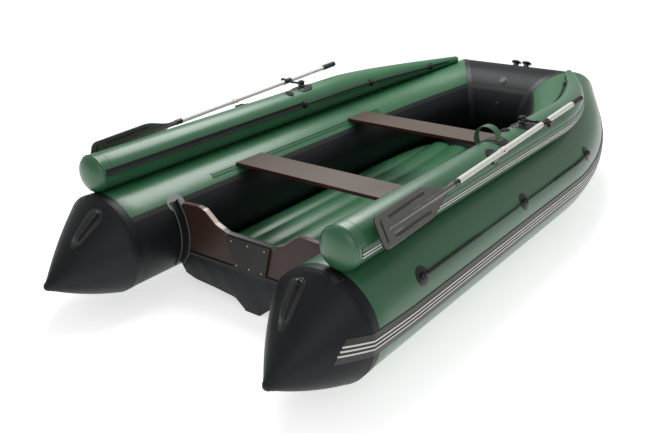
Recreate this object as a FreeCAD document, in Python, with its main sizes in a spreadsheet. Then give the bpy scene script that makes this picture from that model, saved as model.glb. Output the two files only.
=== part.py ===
import FreeCAD, Part
import math
import os

import Sketcher
from FreeCAD import Placement, Rotation, Vector

# An inflatable rowing boat with a wooden transom, a V keel and fender tubes.
# Millimetres and degrees. +Y is the bow, +X starboard, +Z up; the origin lies under
# the middle of the boat, at the level of the keel's flat underside.
# Stations along the boat are counted forward from the seam between stern cone and tube,
# heights from the underside of the side tubes.

SIZES = (
    ("seat_gap", 0.3, "glue line or clearance between pieces that lie on each other"),
    ("tube_radius", 240.0, "main air tube"),
    ("cockpit_half", 402.5, "middle line to the inner side of a side tube"),
    ("tube_straight", 1936.0, "straight part of a side tube"),
    ("bow_radius", 1875.0, "bend of the side tube's axis"),
    ("bow_turn", 30.0, "angle of that bend"),
    ("bow_tilt", 22.3, "lean of the bend's plane, which lifts the bow"),
    ("bow_tail", 150.0, "straight end of the side tube before the mitre"),
    ("cone_length", 330.0, "stern cone with its rounded tip"),
    ("cone_droop", 86.0, "tip below the tube's axis"),
    ("cone_tip_radius", 20.0, ""),
    ("cone_fullness", 9.0, "bulge of the cone behind its seam"),
    ("cone_full_station", 70.0, "where the cone bulges most"),
    ("fender_radius", 90.0, "fender tube on top of the side tube"),
    ("fender_angle", 79.6, "its place round the side tube, from straight outboard"),
    ("fender_start", 47.5, "its aft end seam"),
    ("fender_cap", 40.0, "bulge of its end cap"),
    ("fender_tip_radius", 22.0, "its forward tip"),
    ("keel_drop", 60.0, "keel below the side tubes"),
    ("keel_flat", 44.0, "half width of the keel's underside"),
    ("bottom_edge_angle", 42.4, "where the bottom meets a side tube, below straight inboard"),
    ("deck_bottom", 58.0, "underside of the inflated floor"),
    ("deck_top", 118.0, "crown of its ribs"),
    ("deck_rib_width", 126.0, ""),
    ("deck_rib_count", 7, ""),
    ("deck_rib_depth", 14.0, "groove between two ribs"),
    ("deck_gap", 6.0, "floor clear of the transom"),
    ("deck_edge_gap", 24.0, "floor inside the bottom's edges"),
    ("deck_front", 2400.0, "station of the floor's forward end"),
    ("deck_nose", 40.0, "extra taper of its plan at that end"),
    ("board_station", 313.0, "aft face of the transom"),
    ("board_thick", 27.0, ""),
    ("ear_rise", 163.0, "top of the transom's shoulders above the tubes' axes"),
    ("ear_fall", 8.0, "fall of their top towards the notch"),
    ("ear_outer", 312.0, ""),
    ("ear_inner", 279.0, ""),
    ("notch_half_width", 140.0, "outboard engine's notch"),
    ("notch_rise", 72.0, "its floor above the tubes' axes"),
    ("slope_out", 68.0, "bend of the shoulder's slope beyond the notch"),
    ("slope_foot_out", 18.0, "start of that slope beyond the notch"),
    ("slope_foot_rise", 10.0, ""),
    ("corner_angle", 33.5, "transom's top corner round the tube, above straight inboard"),
    ("corner_proud", 20.9, "corner beyond the tube"),
    ("corner_cut", 13.0, ""),
    ("plate_top_half", 132.0, "engine plate"),
    ("plate_bottom_half", 96.0, ""),
    ("plate_height", 146.0, ""),
    ("plate_drop", 8.0, "plate's upper edge below the notch"),
    ("plate_thick", 12.0, ""),
    ("inner_plate_thick", 8.0, ""),
    ("inner_plate_height", 126.0, ""),
    ("skirt_thick", 4.0, ""),
    ("flap_length", 42.0, "rubber profile along the tube, before and behind the transom"),
    ("flap_thick", 5.0, ""),
    ("flap_flange", 22.0, "its width on the board"),
    ("flap_low", 139.0, "its upper end round the tube"),
    ("flap_high", 222.0, "its lower end"),
    ("strake_thick", 7.0, "rub strake"),
    ("strake_low", -12.5, "its lower edge round the tube"),
    ("strake_high", 9.5, "its upper edge"),
    ("strake_lift", 3.0, "angle that it has climbed at the seam of the cone"),
    ("strake_lift_start", 300.0, "where it starts to climb"),
    ("tail_top_length", 82.0, "its upper edge on the stern cone"),
    ("tail_low_length", 139.0, "its lower edge there"),
    ("tail_rise", 1.0, "its slope there"),
    ("trim_thick", 5.0, "fender's strake"),
    ("trim_low", -18.0, ""),
    ("trim_high", 12.0, ""),
    ("trim_start", 60.0, ""),
    ("rail_thick", 3.6, "seat rail"),
    ("rail_low", 49.0, "its lower edge, from straight inboard"),
    ("rail_high", 57.0, "its upper edge"),
    ("rail_start", 598.0, ""),
    ("rail_end", 2106.0, ""),
    ("thwart_seat_low", 2.5, "foot of its bevelled end above the rail's lower edge"),
    ("thwart_seat_high", 1.0, "top of that bevel below the rail's upper edge"),
    ("thwart_thick", 18.0, ""),
    ("thwart_width", 196.0, ""),
    ("thwart_aft_station", 880.0, "middle of the aft thwart"),
    ("thwart_forward_station", 1872.0, ""),
    ("lock_station", 1581.0, "oarlock"),
    ("lock_clearance", 5.5, "oar's collar above the fender's crown as it swings"),
    ("lock_arm", 113.0, "oarlock's pin to the shaft's axis"),
    ("pad_length", 170.0, "oarlock's base on the fender"),
    ("pad_width_angle", 74.0, "its reach round the fender"),
    ("pad_thick", 4.0, ""),
    ("boss_radius", 27.0, "round boss on the pad"),
    ("boss_height", 3.0, ""),
    ("pin_radius", 8.0, "upright pin of the oarlock"),
    ("pin_clearance", 0.3, ""),
    ("pin_head_radius", 14.0, ""),
    ("pin_head_height", 4.0, ""),
    ("hub_radius", 20.0, "turning part of the oarlock"),
    ("hub_gap", 0.5, ""),
    ("arm_radius", 7.0, "oarlock's arm, on which the oar tilts"),
    ("knob_radius", 17.0, ""),
    ("knob_length", 20.0, ""),
    ("knob_lobe_radius", 5.0, ""),
    ("knob_lobe_count", 5, ""),
    ("oar_slope", 2.46, "rise of the stowed oar towards the bow"),
    ("shaft_radius", 14.0, ""),
    ("shaft_inboard", 351.0, "shaft forward of the oarlock"),
    ("shaft_outboard", 870.0, "shaft behind the oarlock"),
    ("grip_radius", 16.5, ""),
    ("grip_length", 126.0, ""),
    ("collar_radius", 17.0, ""),
    ("collar_length", 64.0, ""),
    ("sleeve_station", 461.0, "coupling of the two shaft halves behind the oarlock"),
    ("sleeve_length", 46.0, ""),
    ("blade_length", 583.0, "blade with its neck"),
    ("blade_width", 134.0, ""),
    ("blade_thick", 7.0, ""),
    ("blade_neck", 70.0, "neck before the blade widens"),
    ("blade_shoulder", 200.0, "length over which it widens"),
    ("blade_corner", 28.0, "rounded corners at its tip"),
    ("blade_bar_length", 250.0, "raised bars beside the spine"),
    ("blade_bar_width", 14.0, ""),
    ("blade_bar_rise", 2.5, ""),
    ("blade_lean", 24.0, "blade's lean from upright"),
    ("holder_station", 1125.0, "rest under the stowed oar"),
    ("holder_length", 60.0, ""),
    ("holder_gap", 5.0, ""),
    ("holder_block", 40.0, ""),
    ("holder_width", 36.0, ""),
    ("holder_angle", 42.0, "its place round the fender"),
    ("strap_station", 1275.0, "webbing loop across the starboard fender"),
    ("strap_rise", 62.0, "its height inside, above the patch"),
    ("strap_width", 50.0, ""),
    ("strap_thick", 3.0, ""),
    ("strap_angle", 111.5, "its middle round the fender"),
    ("strap_span_angle", 68.0, "between its feet, round the fender"),
    ("strap_foot_angle", 9.0, "glued end of the webbing"),
    ("strap_base_length", 94.0, "patch under the webbing, along the fender"),
    ("strap_base_low", 53.0, "its outboard end round the fender"),
    ("strap_base_high", 155.0, "its inboard end"),
    ("handle_base_length", 182.0, "oval base of the moulded handle on the stern cone"),
    ("handle_base_width", 62.0, ""),
    ("handle_base_thick", 4.0, ""),
    ("handle_length", 150.0, "its arched grip"),
    ("handle_width", 26.0, ""),
    ("handle_rise", 38.0, ""),
    ("handle_bar", 11.0, ""),
    ("handle_round", 26.0, ""),
    ("handle_back", 112.0, "its middle behind the seam of the cone"),
    ("handle_clock", 101.0, "its place round the cone"),
    ("line_radius", 5.0, "grab line"),
    ("line_double_radius", 8.0, "grab line laid back on itself"),
    ("line_clock", 29.0, "its place round the side tube"),
    ("line_start", 385.0, "its aft cleat"),
    ("line_middle", 1332.0, "its second cleat"),
    ("line_end", 2161.0, "its forward cleat, along the tube's axis"),
    ("line_double", 475.0, "doubled stretch beside the first and last cleats"),
    ("patch_radius", 42.0, "round foot of a cleat"),
    ("patch_thick", 3.0, ""),
    ("cleat_radius", 15.0, ""),
    ("cleat_rise", 21.0, ""),
    ("inner_line_clock", 168.5, "inner line's place round the fender"),
    ("inner_patch_radius", 26.0, ""),
    ("strip_angle", 20.0, "width of the strip on the fender, round it"),
    ("strip_thick", 4.0, ""),
    ("strip_end", 1499.0, "where the strip ends in the first cleat"),
    ("cap_patch_radius", 24.0, "patch under the fender's end"),
    ("cap_patch_clock", 72.0, ""),
    ("cap_patch_station", 9.0, ""),
    ("valve_radius", 26.0, ""),
    ("valve_rise", 5.0, ""),
    ("valve_cap_radius", 16.0, ""),
    ("valve_cap_rise", 10.0, ""),
    ("side_valve_station", 1402.0, "valve inside the side tube"),
    ("side_valve_clock", 189.0, ""),
    ("fender_valve_station", 1437.0, "valve on the fender"),
    ("fender_valve_clock", 107.0, ""),
    ("front_valve_offset", 10.0, "valves on the front tube beside the middle line"),
    ("front_valve_angle", 134.0, "upper one, from straight ahead"),
    ("front_valve_low_angle", 174.0, ""),
    ("bow_knob_radius", 27.0, "bow fitting"),
    ("bow_knob_rise", 45.0, ""),
    ("bow_knob_half_gap", 56.0, "middle line to a knob"),
    ("bow_knob_angle", 60.0, "its place round the front tube, from straight ahead"),
    ("corner_patch_radius", 50.0, "patch at the transom's corner"),
    ("corner_patch_thick", 2.0, ""),
    ("corner_patch_angle", 38.7, "its place round the tube, above straight inboard"),
    ("corner_patch_back", 5.0, "its middle behind the board's aft face"),
)

doc = FreeCAD.newDocument("inflatable_boat")
sheet = doc.addObject("Spreadsheet::Sheet", "sizes")


class Size:
    """A size with the formula that it comes from."""

    def __init__(self, amount, formula):
        self.amount = float(amount)
        self.formula = formula

    def __add__(self, other):
        return Size(self.amount + float(other), f"({self.formula} + {text(other)})")

    def __sub__(self, other):
        return Size(self.amount - float(other), f"({self.formula} - {text(other)})")

    def __mul__(self, other):
        return Size(self.amount * float(other), f"({self.formula} * {text(other)})")

    def __truediv__(self, other):
        return Size(self.amount / float(other), f"({self.formula} / {text(other)})")

    def __radd__(self, other):
        return Size(float(other) + self.amount, f"({other} + {self.formula})")

    def __rsub__(self, other):
        return Size(float(other) - self.amount, f"({other} - {self.formula})")

    def __rmul__(self, other):
        return Size(float(other) * self.amount, f"({other} * {self.formula})")

    def __neg__(self):
        return Size(-self.amount, f"(-{self.formula})")

    def __float__(self):
        return self.amount


def text(quantity):
    return quantity.formula if isinstance(quantity, Size) else repr(float(quantity))


class Sizes:
    """The spreadsheet's sizes by name."""


size = Sizes()
for row, (alias, amount, note) in enumerate(SIZES, start=1):
    sheet.set(f"A{row}", alias)
    sheet.set(f"B{row}", str(amount))
    sheet.set(f"C{row}", note)
    sheet.setAlias(f"B{row}", alias)
doc.recompute()
for alias, _, _ in SIZES:
    setattr(size, alias, Size(sheet.get(alias), f"sizes.{alias}"))


def cos(angle):
    return math.cos(math.radians(float(angle)))


def sin(angle):
    return math.sin(math.radians(float(angle)))


def bind(thing, **formulas):
    for name, quantity in formulas.items():
        if isinstance(quantity, Size):
            setattr(thing, name, quantity.amount)
            thing.setExpression(name, quantity.formula)
        else:
            setattr(thing, name, quantity)
    return thing


# The bow curve: a bend in a plane that leans by bow_tilt, then a straight tail to the mitre.
R = float(size.tube_radius)
GAP = float(size.seat_gap)
GAUGE = size.cockpit_half + size.tube_radius
bend_run = float(size.bow_radius) * (1 - cos(size.bow_turn)) + float(size.bow_tail) * sin(size.bow_turn)
bend_reach = float(size.bow_radius) * sin(size.bow_turn) + float(size.bow_tail) * cos(size.bow_turn)
FRONT_HALF = float(GAUGE) - cos(size.bow_tilt) * bend_run
FRONT_STATION = float(size.tube_straight) + bend_reach
FRONT_RISE = sin(size.bow_tilt) * bend_run
STRAKE_OUT = float(size.seat_gap) + float(size.strake_thick)
MIDDLE = (FRONT_STATION + R + STRAKE_OUT - float(size.cone_length)) / 2
AXIS_HEIGHT = R + float(size.keel_drop)
STAND_UP = Rotation(Vector(1, 0, 0), 90)
SIDES = ((1, "starboard"), (-1, "port"))


def spot(x, station, height):
    """Row frame point from the distance to the middle line, the station and the height."""
    return Vector(float(x), float(station) - MIDDLE, float(height) + float(size.keel_drop))


def tube_frame(side):
    """Frame on a side tube's axis at the cone seam, in the plane of the bow bend."""
    base = Vector(side * float(GAUGE), -MIDDLE, AXIS_HEIGHT)
    return Placement(base, Rotation(Vector(0, 1, 0), side * float(size.bow_tilt)))


def bend_frame(side, turn, extra=0.0):
    """Frame of the tube's section at an angle of the bend, then on along the tail."""
    frame = tube_frame(side)
    centre = Vector(-side * float(size.bow_radius), float(size.tube_straight), 0)
    swing = Rotation(Vector(0, 0, 1), side * float(turn))
    here = centre + swing.multVec(Vector(side * float(size.bow_radius), 0, 0))
    here = here + swing.multVec(Vector(0, float(extra), 0))
    return frame.multiply(Placement(here, swing))


def clock(angle, side):
    """Angle in the tube's leaning frame, for an angle from straight outboard."""
    turned = float(angle) + float(size.bow_tilt)
    return turned if side > 0 else 180.0 - turned


def polar(radius, angle):
    return Vector(float(radius) * cos(angle), float(radius) * sin(angle), 0)


def sketch_at(name, place):
    sketch = doc.addObject("Sketcher::SketchObject", name)
    sketch.Placement = place
    return sketch


def round_section(name, place, centre, radius):
    sketch = sketch_at(name, place)
    sketch.addGeometry(Part.Circle(centre, Vector(0, 0, 1), float(radius)))
    sketch.addConstraint(Sketcher.Constraint("Radius", 0, float(radius)))
    if isinstance(radius, Size):
        sketch.setExpression("Constraints[0]", radius.formula)
    return sketch


def band_section(name, place, centre, inner, outer, low, high):
    """Part of a ring between two radii and two angles."""
    low, high = sorted((float(low), float(high)))
    sketch = sketch_at(name, place)
    for radius in (inner, outer):
        circle = Part.Circle(centre, Vector(0, 0, 1), float(radius))
        sketch.addGeometry(Part.ArcOfCircle(circle, math.radians(low), math.radians(high)))
    for angle in (low, high):
        sketch.addGeometry(Part.LineSegment(centre + polar(inner, angle), centre + polar(outer, angle)))
    for arc, arc_end, line, line_end in ((0, 1, 2, 1), (1, 1, 2, 2), (0, 2, 3, 1), (1, 2, 3, 2)):
        sketch.addConstraint(Sketcher.Constraint("Coincident", arc, arc_end, line, line_end))
    sketch.addConstraint(Sketcher.Constraint("Coincident", 0, 3, 1, 3))
    for arc, radius in ((0, inner), (1, outer)):
        index = sketch.addConstraint(Sketcher.Constraint("Radius", arc, float(radius)))
        if isinstance(radius, Size):
            sketch.setExpression(f"Constraints[{index}]", radius.formula)
    return sketch


def outline(name, place, points):
    """Closed sketch of straight lines."""
    sketch = sketch_at(name, place)
    count = len(points)
    for index, point in enumerate(points):
        following = points[(index + 1) % count]
        sketch.addGeometry(Part.LineSegment(Vector(*point, 0), Vector(*following, 0)))
    for index in range(count):
        sketch.addConstraint(Sketcher.Constraint("Coincident", index, 2, (index + 1) % count, 1))
    return sketch


def extrude(name, sketch, direction, length):
    run = doc.addObject("Part::Extrusion", name)
    run.Base = sketch
    run.DirMode = "Custom"
    run.Dir = direction
    run.Solid = True
    return bind(run, LengthFwd=length)


def fuse(name, pieces):
    joined = doc.addObject("Part::MultiFuse", name)
    joined.Shapes = pieces
    joined.Refine = True
    return joined


def cut(name, base, tool):
    result = doc.addObject("Part::Cut", name)
    result.Base = base
    result.Tool = tool
    return result


def common(name, base, tool):
    result = doc.addObject("Part::Common", name)
    result.Base = base
    result.Tool = tool
    return result


def follow(name, side, draw, start=None, straight=None, bend=None, tail=None):
    """Section carried along a side tube: the straight part, the bend and the tail."""
    frame = tube_frame(side)
    pieces = []
    if straight is not None:
        place = frame.multiply(Placement(Vector(0, float(start), 0), STAND_UP))
        section = draw(name + "_section", place)
        pieces.append(extrude(name + "_run", section, Vector(0, 1, 0), straight))
    if bend is not None:
        place = bend_frame(side, 0).multiply(Placement(Vector(), STAND_UP))
        section = draw(name + "_bend_section", place)
        centre = Vector(-side * float(size.bow_radius), float(size.tube_straight), 0)
        turn = doc.addObject("Part::Revolution", name + "_bend")
        turn.Source = section
        turn.Axis = frame.Rotation.multVec(Vector(0, 0, side))
        turn.Base = frame.multVec(centre)
        turn.Solid = True
        pieces.append(bind(turn, Angle=bend))
    if tail is not None:
        end = bend_frame(side, size.bow_turn)
        section = draw(name + "_tail_section", end.multiply(Placement(Vector(), STAND_UP)))
        direction = end.Rotation.multVec(Vector(0, 1, 0))
        pieces.append(extrude(name + "_tail", section, direction, tail))
    return pieces[0] if len(pieces) == 1 else fuse(name, pieces)


def mitre_normal(side):
    """Normal of the mitre plane between side tube and front tube, pointing ahead."""
    tangent = bend_frame(side, size.bow_turn).Rotation.multVec(Vector(0, 1, 0))
    normal = tangent + Vector(-side, 0, 0)
    return normal.normalize()


def front_clock(angle):
    """Angle round the front tube that meets an angle of the side tubes at the mitre."""
    angle = float(angle) + float(size.bow_tilt)
    out = bend_frame(1, size.bow_turn).Rotation.multVec(Vector(cos(angle), 0, sin(angle)))
    normal = mitre_normal(1)
    mirrored = out - normal * (2 * out.dot(normal))
    return math.degrees(math.atan2(mirrored.z, mirrored.y))


def mitre_box(name, side, ahead):
    """Block on one side of the mitre plane."""
    normal = mitre_normal(side)
    if not ahead:
        normal = normal * -1
    turned = Rotation(Vector(0, 0, 1), normal)
    reach = size.tube_radius * 6
    corner = turned.multVec(Vector(-float(reach) / 2, -float(reach) / 2, 0))
    block = doc.addObject("Part::Box", name)
    block.Placement = Placement(spot(side * FRONT_HALF, FRONT_STATION, R + FRONT_RISE) + corner, turned)
    return bind(block, Length=reach, Width=reach, Height=reach)


def cylinder(name, radius, length, base, direction):
    rod = doc.addObject("Part::Cylinder", name)
    rod.Placement = Placement(base, Rotation(Vector(0, 0, 1), direction))
    return bind(rod, Radius=radius, Height=length)


def box(name, length, width, height, base, rotation=Rotation()):
    """Block whose base point is the middle of its underside."""
    block = doc.addObject("Part::Box", name)
    offset = rotation.multVec(Vector(-float(length) / 2, -float(width) / 2, 0))
    block.Placement = Placement(base + offset, rotation)
    return bind(block, Length=length, Width=width, Height=height)


NODES = []


def node(label, thing):
    thing.Label = label
    NODES.append(thing)
    return thing


MITRE = {(side, ahead): mitre_box(f"mitre_{tag}_{'ahead' if ahead else 'behind'}", side, ahead)
         for side, tag in SIDES for ahead in (True, False)}
TAIL_SPARE = size.bow_tail + size.tube_radius


def mitred(name, side, piece):
    return cut(name, piece, MITRE[side, True])


def front_run(name, draw_angle_section):
    """Section carried along the front tube and mitred at both ends."""
    half = FRONT_HALF + R
    ahead = Rotation(Vector(0, 1, 0), Vector(0, 0, 1), Vector(1, 0, 0), "ZXY")
    place = Placement(spot(-half, FRONT_STATION, R + FRONT_RISE), ahead)
    section = draw_angle_section(name + "_section", place)
    run = extrude(name + "_run", section, Vector(1, 0, 0), 2 * half)
    trimmed = cut(name + "_starboard_end", run, MITRE[1, False])
    return cut(name, trimmed, MITRE[-1, False])


def section_at(frame):
    """Placement of a sketch across a tube, from the frame of the tube's section."""
    return frame.multiply(Placement(Vector(), STAND_UP))


def in_frame(frame, flat):
    """Row frame point of a point of that sketch."""
    return frame.multVec(Vector(flat.x, 0, flat.y))


def tube_place(side, way):
    """Frame of a side tube's section at a way along its axis from the cone seam."""
    ahead = float(way) - float(size.tube_straight)
    if ahead <= 0:
        return tube_frame(side).multiply(Placement(Vector(0, float(way), 0), Rotation()))
    return bend_frame(side, math.degrees(ahead / float(size.bow_radius)))


def compound(name, pieces):
    group = doc.addObject("Part::Compound", name)
    group.Links = pieces
    return group


# Main air tubes.
def air_tubes():
    for side, tag in SIDES:
        def section(name, place):
            return round_section(name, place, Vector(), size.tube_radius)
        side_tube = follow(f"tube_run_{tag}", side, section, start=0.0, straight=size.tube_straight)
        node(f"side_tube_{tag}", side_tube)
        bow = follow(f"tube_bow_{tag}", side, section, bend=size.bow_turn, tail=TAIL_SPARE)
        node(f"bow_tube_{tag}", mitred(f"tube_bow_cut_{tag}", side, bow))
        node(f"stern_cone_{tag}", cone(f"cone_{tag}", side, 0.0))

    def front_section(name, place):
        return round_section(name, place, Vector(), size.tube_radius)
    node("front_tube", front_run("tube_front", front_section))


CONE_LONG = float(size.cone_length) - float(size.cone_tip_radius)


def cone(name, side, swell):
    """Stern cone, larger all round by swell."""
    share = size.cone_full_station / CONE_LONG
    full_radius = size.tube_radius - (size.tube_radius - size.cone_tip_radius) * float(share)
    rings = (
        (0.0, size.tube_radius),
        (float(share), full_radius + size.cone_fullness),
        (1.0, size.cone_tip_radius),
    )
    sections = []
    for index, (along, radius) in enumerate(rings):
        centre = spot(side * float(GAUGE), -CONE_LONG * along, R - float(size.cone_droop) * along)
        place = Placement(centre, STAND_UP)
        sections.append(round_section(f"{name}_ring{index}", place, Vector(), radius + swell))
    loft = doc.addObject("Part::Loft", name + "_loft")
    loft.Sections = sections
    loft.Solid = True
    tip = doc.addObject("Part::Sphere", name + "_tip")
    tip.Placement = Placement(centre, Rotation())
    bind(tip, Radius=size.cone_tip_radius + swell)
    whole = doc.addObject("Part::MultiFuse", name)
    whole.Shapes = [loft, tip]
    return whole


# Fender tubes on top of the side tubes.
FENDER_OUT = size.tube_radius + size.fender_radius + size.seat_gap
FENDER_STEPS = 6
FENDER_TAIL_SHARE = 0.8
TAPER_POWER = 1.5


def fender_centre(side, radius=None):
    """Fender's axis in the sketch across the tube."""
    out = FENDER_OUT if radius is None else size.tube_radius + radius + size.seat_gap
    return polar(out, clock(size.fender_angle, side))


def fender_axis(side):
    """Fender's axis in distance to the middle line and height."""
    return (side * (float(GAUGE) + float(FENDER_OUT) * cos(size.fender_angle)),
            R + float(FENDER_OUT) * sin(size.fender_angle))


def fender_ring(side, share):
    """Fender's radius and the tube's frame at a share of its way from the bend's start to its tip."""
    radius = size.fender_radius - (size.fender_radius - size.fender_tip_radius) * share ** TAPER_POWER
    bend = math.radians(float(size.bow_turn)) * float(size.bow_radius)
    way = share * (bend + float(size.bow_tail) * FENDER_TAIL_SHARE)
    turn = min(way / bend, 1.0) * float(size.bow_turn)
    return radius, bend_frame(side, turn, max(way - bend, 0.0))


def fender_taper(name, side, draw, first=0.0, last=1.0, steps=FENDER_STEPS):
    """Loft along the fender's bow end, between two shares of its length."""
    sections = []
    for index in range(steps):
        share = first + (last - first) * index / (steps - 1)
        radius, frame = fender_ring(side, share)
        sections.append(draw(f"{name}_ring{index}", section_at(frame), radius))
    loft = doc.addObject("Part::Loft", name)
    loft.Sections = sections
    loft.Solid = True
    return loft


def fender_bow(name, side, swell):
    """Tapered bow end of the fender, larger all round by swell."""
    def section(section_name, place, radius):
        return round_section(section_name, place, fender_centre(side, radius), radius + swell)
    return fender_taper(name, side, section)


def fenders():
    for side, tag in SIDES:
        def section(name, place):
            return round_section(name, place, fender_centre(side), size.fender_radius)
        run = follow(f"fender_run_{tag}", side, section, start=size.fender_start,
                     straight=size.tube_straight - size.fender_start)
        x, height = fender_axis(side)
        cap = doc.addObject("Part::Ellipsoid", f"fender_cap_{tag}")
        cap.Placement = Placement(spot(x, size.fender_start, height), STAND_UP)
        bind(cap, Radius1=size.fender_cap, Radius2=size.fender_radius, Angle1=-90.0, Angle2=90.0)
        node(f"fender_{tag}", fuse(f"fender_body_{tag}", [run, cap]))
        node(f"fender_bow_{tag}", fender_bow(f"fender_taper_{tag}", side, 0.0))


# Clearance body of the three main tubes, which trims what lies between them.
def tubes_clearance():
    def section(name, place):
        return round_section(name, place, Vector(), size.tube_radius + size.seat_gap)
    pieces = [follow(f"clear_{tag}", side, section, start=-float(size.cone_length),
                     straight=size.tube_straight + size.cone_length, bend=size.bow_turn, tail=TAIL_SPARE)
              for side, tag in SIDES]
    half = FRONT_HALF + R
    pieces.append(cylinder("clear_front", size.tube_radius + size.seat_gap, 2 * half,
                           spot(-half, FRONT_STATION, R + FRONT_RISE), Vector(1, 0, 0)))
    return fuse("tubes_clearance", pieces)


# Bottom: fabric bottom with the inflated keel, then the ribbed floor on it.
# Its section in shares of the half width and of the height from keel to edge, from edge to keel.
BOTTOM_SHAPE = ((1.0, 1.0), (0.93, 0.667), (0.784, 0.526), (0.52, 0.474), (0.23, 0.378), (0.115, 0.08))
# Share of the bow's turn, and share of the front tube's rise that the keel has climbed there.
KEEL_LIFT = ((0.0, 0.0), (0.2, 0.01), (0.4, 0.05), (0.6, 0.17), (0.8, 0.42), (1.0, 0.8))
BOTTOM_HALF = float(GAUGE) - R * cos(size.bottom_edge_angle)
EDGE_HEIGHT = R - R * sin(size.bottom_edge_angle)
KEEL_HEIGHT = -float(size.keel_drop)


def bottom_points(half_width, edge_height, keel_height):
    """Section of the bottom: its edges on the tubes, the shallow V and the keel."""
    rise = edge_height - keel_height
    flat = float(size.keel_flat) * half_width / BOTTOM_HALF
    right = [(half_width * across, keel_height + rise * up) for across, up in BOTTOM_SHAPE]
    right.append((flat, keel_height))
    left = [(-x, height) for x, height in reversed(right)]
    return right + left


def bottom_section(name, station, shift, keel_height):
    """Section of the bottom where the tubes have come inwards by shift in the bend's plane."""
    place = Placement(spot(0, station, 0), STAND_UP)
    half_width = BOTTOM_HALF - cos(size.bow_tilt) * shift
    edge_height = EDGE_HEIGHT + sin(size.bow_tilt) * shift
    return outline(name, place, bottom_points(half_width, edge_height, keel_height))


def hull_bottom(clearance):
    start = bottom_section("bottom_start", size.board_station, 0.0, KEEL_HEIGHT)
    run = extrude("bottom_run", start, Vector(0, 1, 0), size.tube_straight - size.board_station)
    climb = FRONT_RISE + float(size.keel_drop)
    rings = []
    for index, (share, lift) in enumerate(KEEL_LIFT):
        turn = float(size.bow_turn) * share
        shift = float(size.bow_radius) * (1 - cos(turn))
        station = float(size.tube_straight) + float(size.bow_radius) * sin(turn)
        rings.append(bottom_section(f"bottom_ring{index}", station, shift, KEEL_HEIGHT + climb * lift))
    rings.append(bottom_section("bottom_front_ring", FRONT_STATION, bend_run, KEEL_HEIGHT + climb))
    loft = doc.addObject("Part::Loft", "bottom_bow")
    loft.Sections = rings
    loft.Solid = True
    loft.Ruled = True
    whole = fuse("bottom_whole", [run, loft])
    trimmed = cut("bottom_trimmed", whole, clearance)
    bay_end = float(size.deck_front) + float(size.deck_gap)
    bay = deck_plan("deck_bay", float(size.board_station) - GAP, bay_end, float(size.deck_edge_gap),
                    float(size.deck_bottom) - GAP)
    return node("hull_bottom", cut("bottom_cut", trimmed, bay))


DECK_STATIONS = 5


def deck_half(station, edge, end):
    """Half width of the floor's plan at a station, edge inside the bottom's edges."""
    ahead = max(float(station) - float(size.tube_straight), 0.0)
    reach = float(size.bow_radius)
    shift = reach - math.sqrt(reach ** 2 - ahead ** 2)
    nose = float(size.deck_nose) * (ahead / (end - float(size.tube_straight))) ** 2
    return BOTTOM_HALF - cos(size.bow_tilt) * shift - nose - edge


def deck_plan(name, start, end, edge, floor):
    """Upright block with the floor's plan."""
    straight = float(size.tube_straight)
    stations = [start] + [straight + (end - straight) * index / (DECK_STATIONS - 1)
                          for index in range(DECK_STATIONS)]
    right = [(deck_half(station, edge, end), station - MIDDLE) for station in stations]
    points = right + [(-x, y) for x, y in reversed(right)]
    base = Placement(Vector(0, 0, floor + float(size.keel_drop)), Rotation())
    return extrude(name, outline(name + "_plan", base, points), Vector(0, 0, 1), size.tube_radius * 2)


def floor_deck(clearance):
    width = float(size.deck_rib_width)
    count = int(float(size.deck_rib_count))
    left = -width * count / 2
    groove = float(size.deck_top) - float(size.deck_rib_depth)
    bottom = float(size.deck_bottom)
    station = float(size.board_station) + float(size.board_thick) + float(size.deck_gap)
    sketch = sketch_at("deck_section", Placement(spot(0, station, 0), STAND_UP))
    sketch.addGeometry(Part.LineSegment(Vector(left, bottom, 0), Vector(left, groove, 0)))
    for index in range(count):
        first = Vector(left + width * index, groove, 0)
        crown = Vector(left + width * (index + 0.5), float(size.deck_top), 0)
        last = Vector(left + width * (index + 1), groove, 0)
        sketch.addGeometry(Part.Arc(first, crown, last))
    sketch.addGeometry(Part.LineSegment(last, Vector(-left, bottom, 0)))
    sketch.addGeometry(Part.LineSegment(Vector(-left, bottom, 0), Vector(left, bottom, 0)))
    run = extrude("deck_run", sketch, Vector(0, 1, 0), size.deck_front - station)
    plan = deck_plan("deck_shape", station, float(size.deck_front), float(size.deck_edge_gap) + GAP,
                     bottom - float(size.deck_gap))
    node("floor_deck", common("deck_kept", cut("deck_cut", run, clearance), plan))


# Transom of plywood, with its engine plates, fabric and rubber profiles.
NOTCH_HEIGHT = R + float(size.notch_rise)
PLATE_TOP = NOTCH_HEIGHT - float(size.plate_drop)


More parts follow.
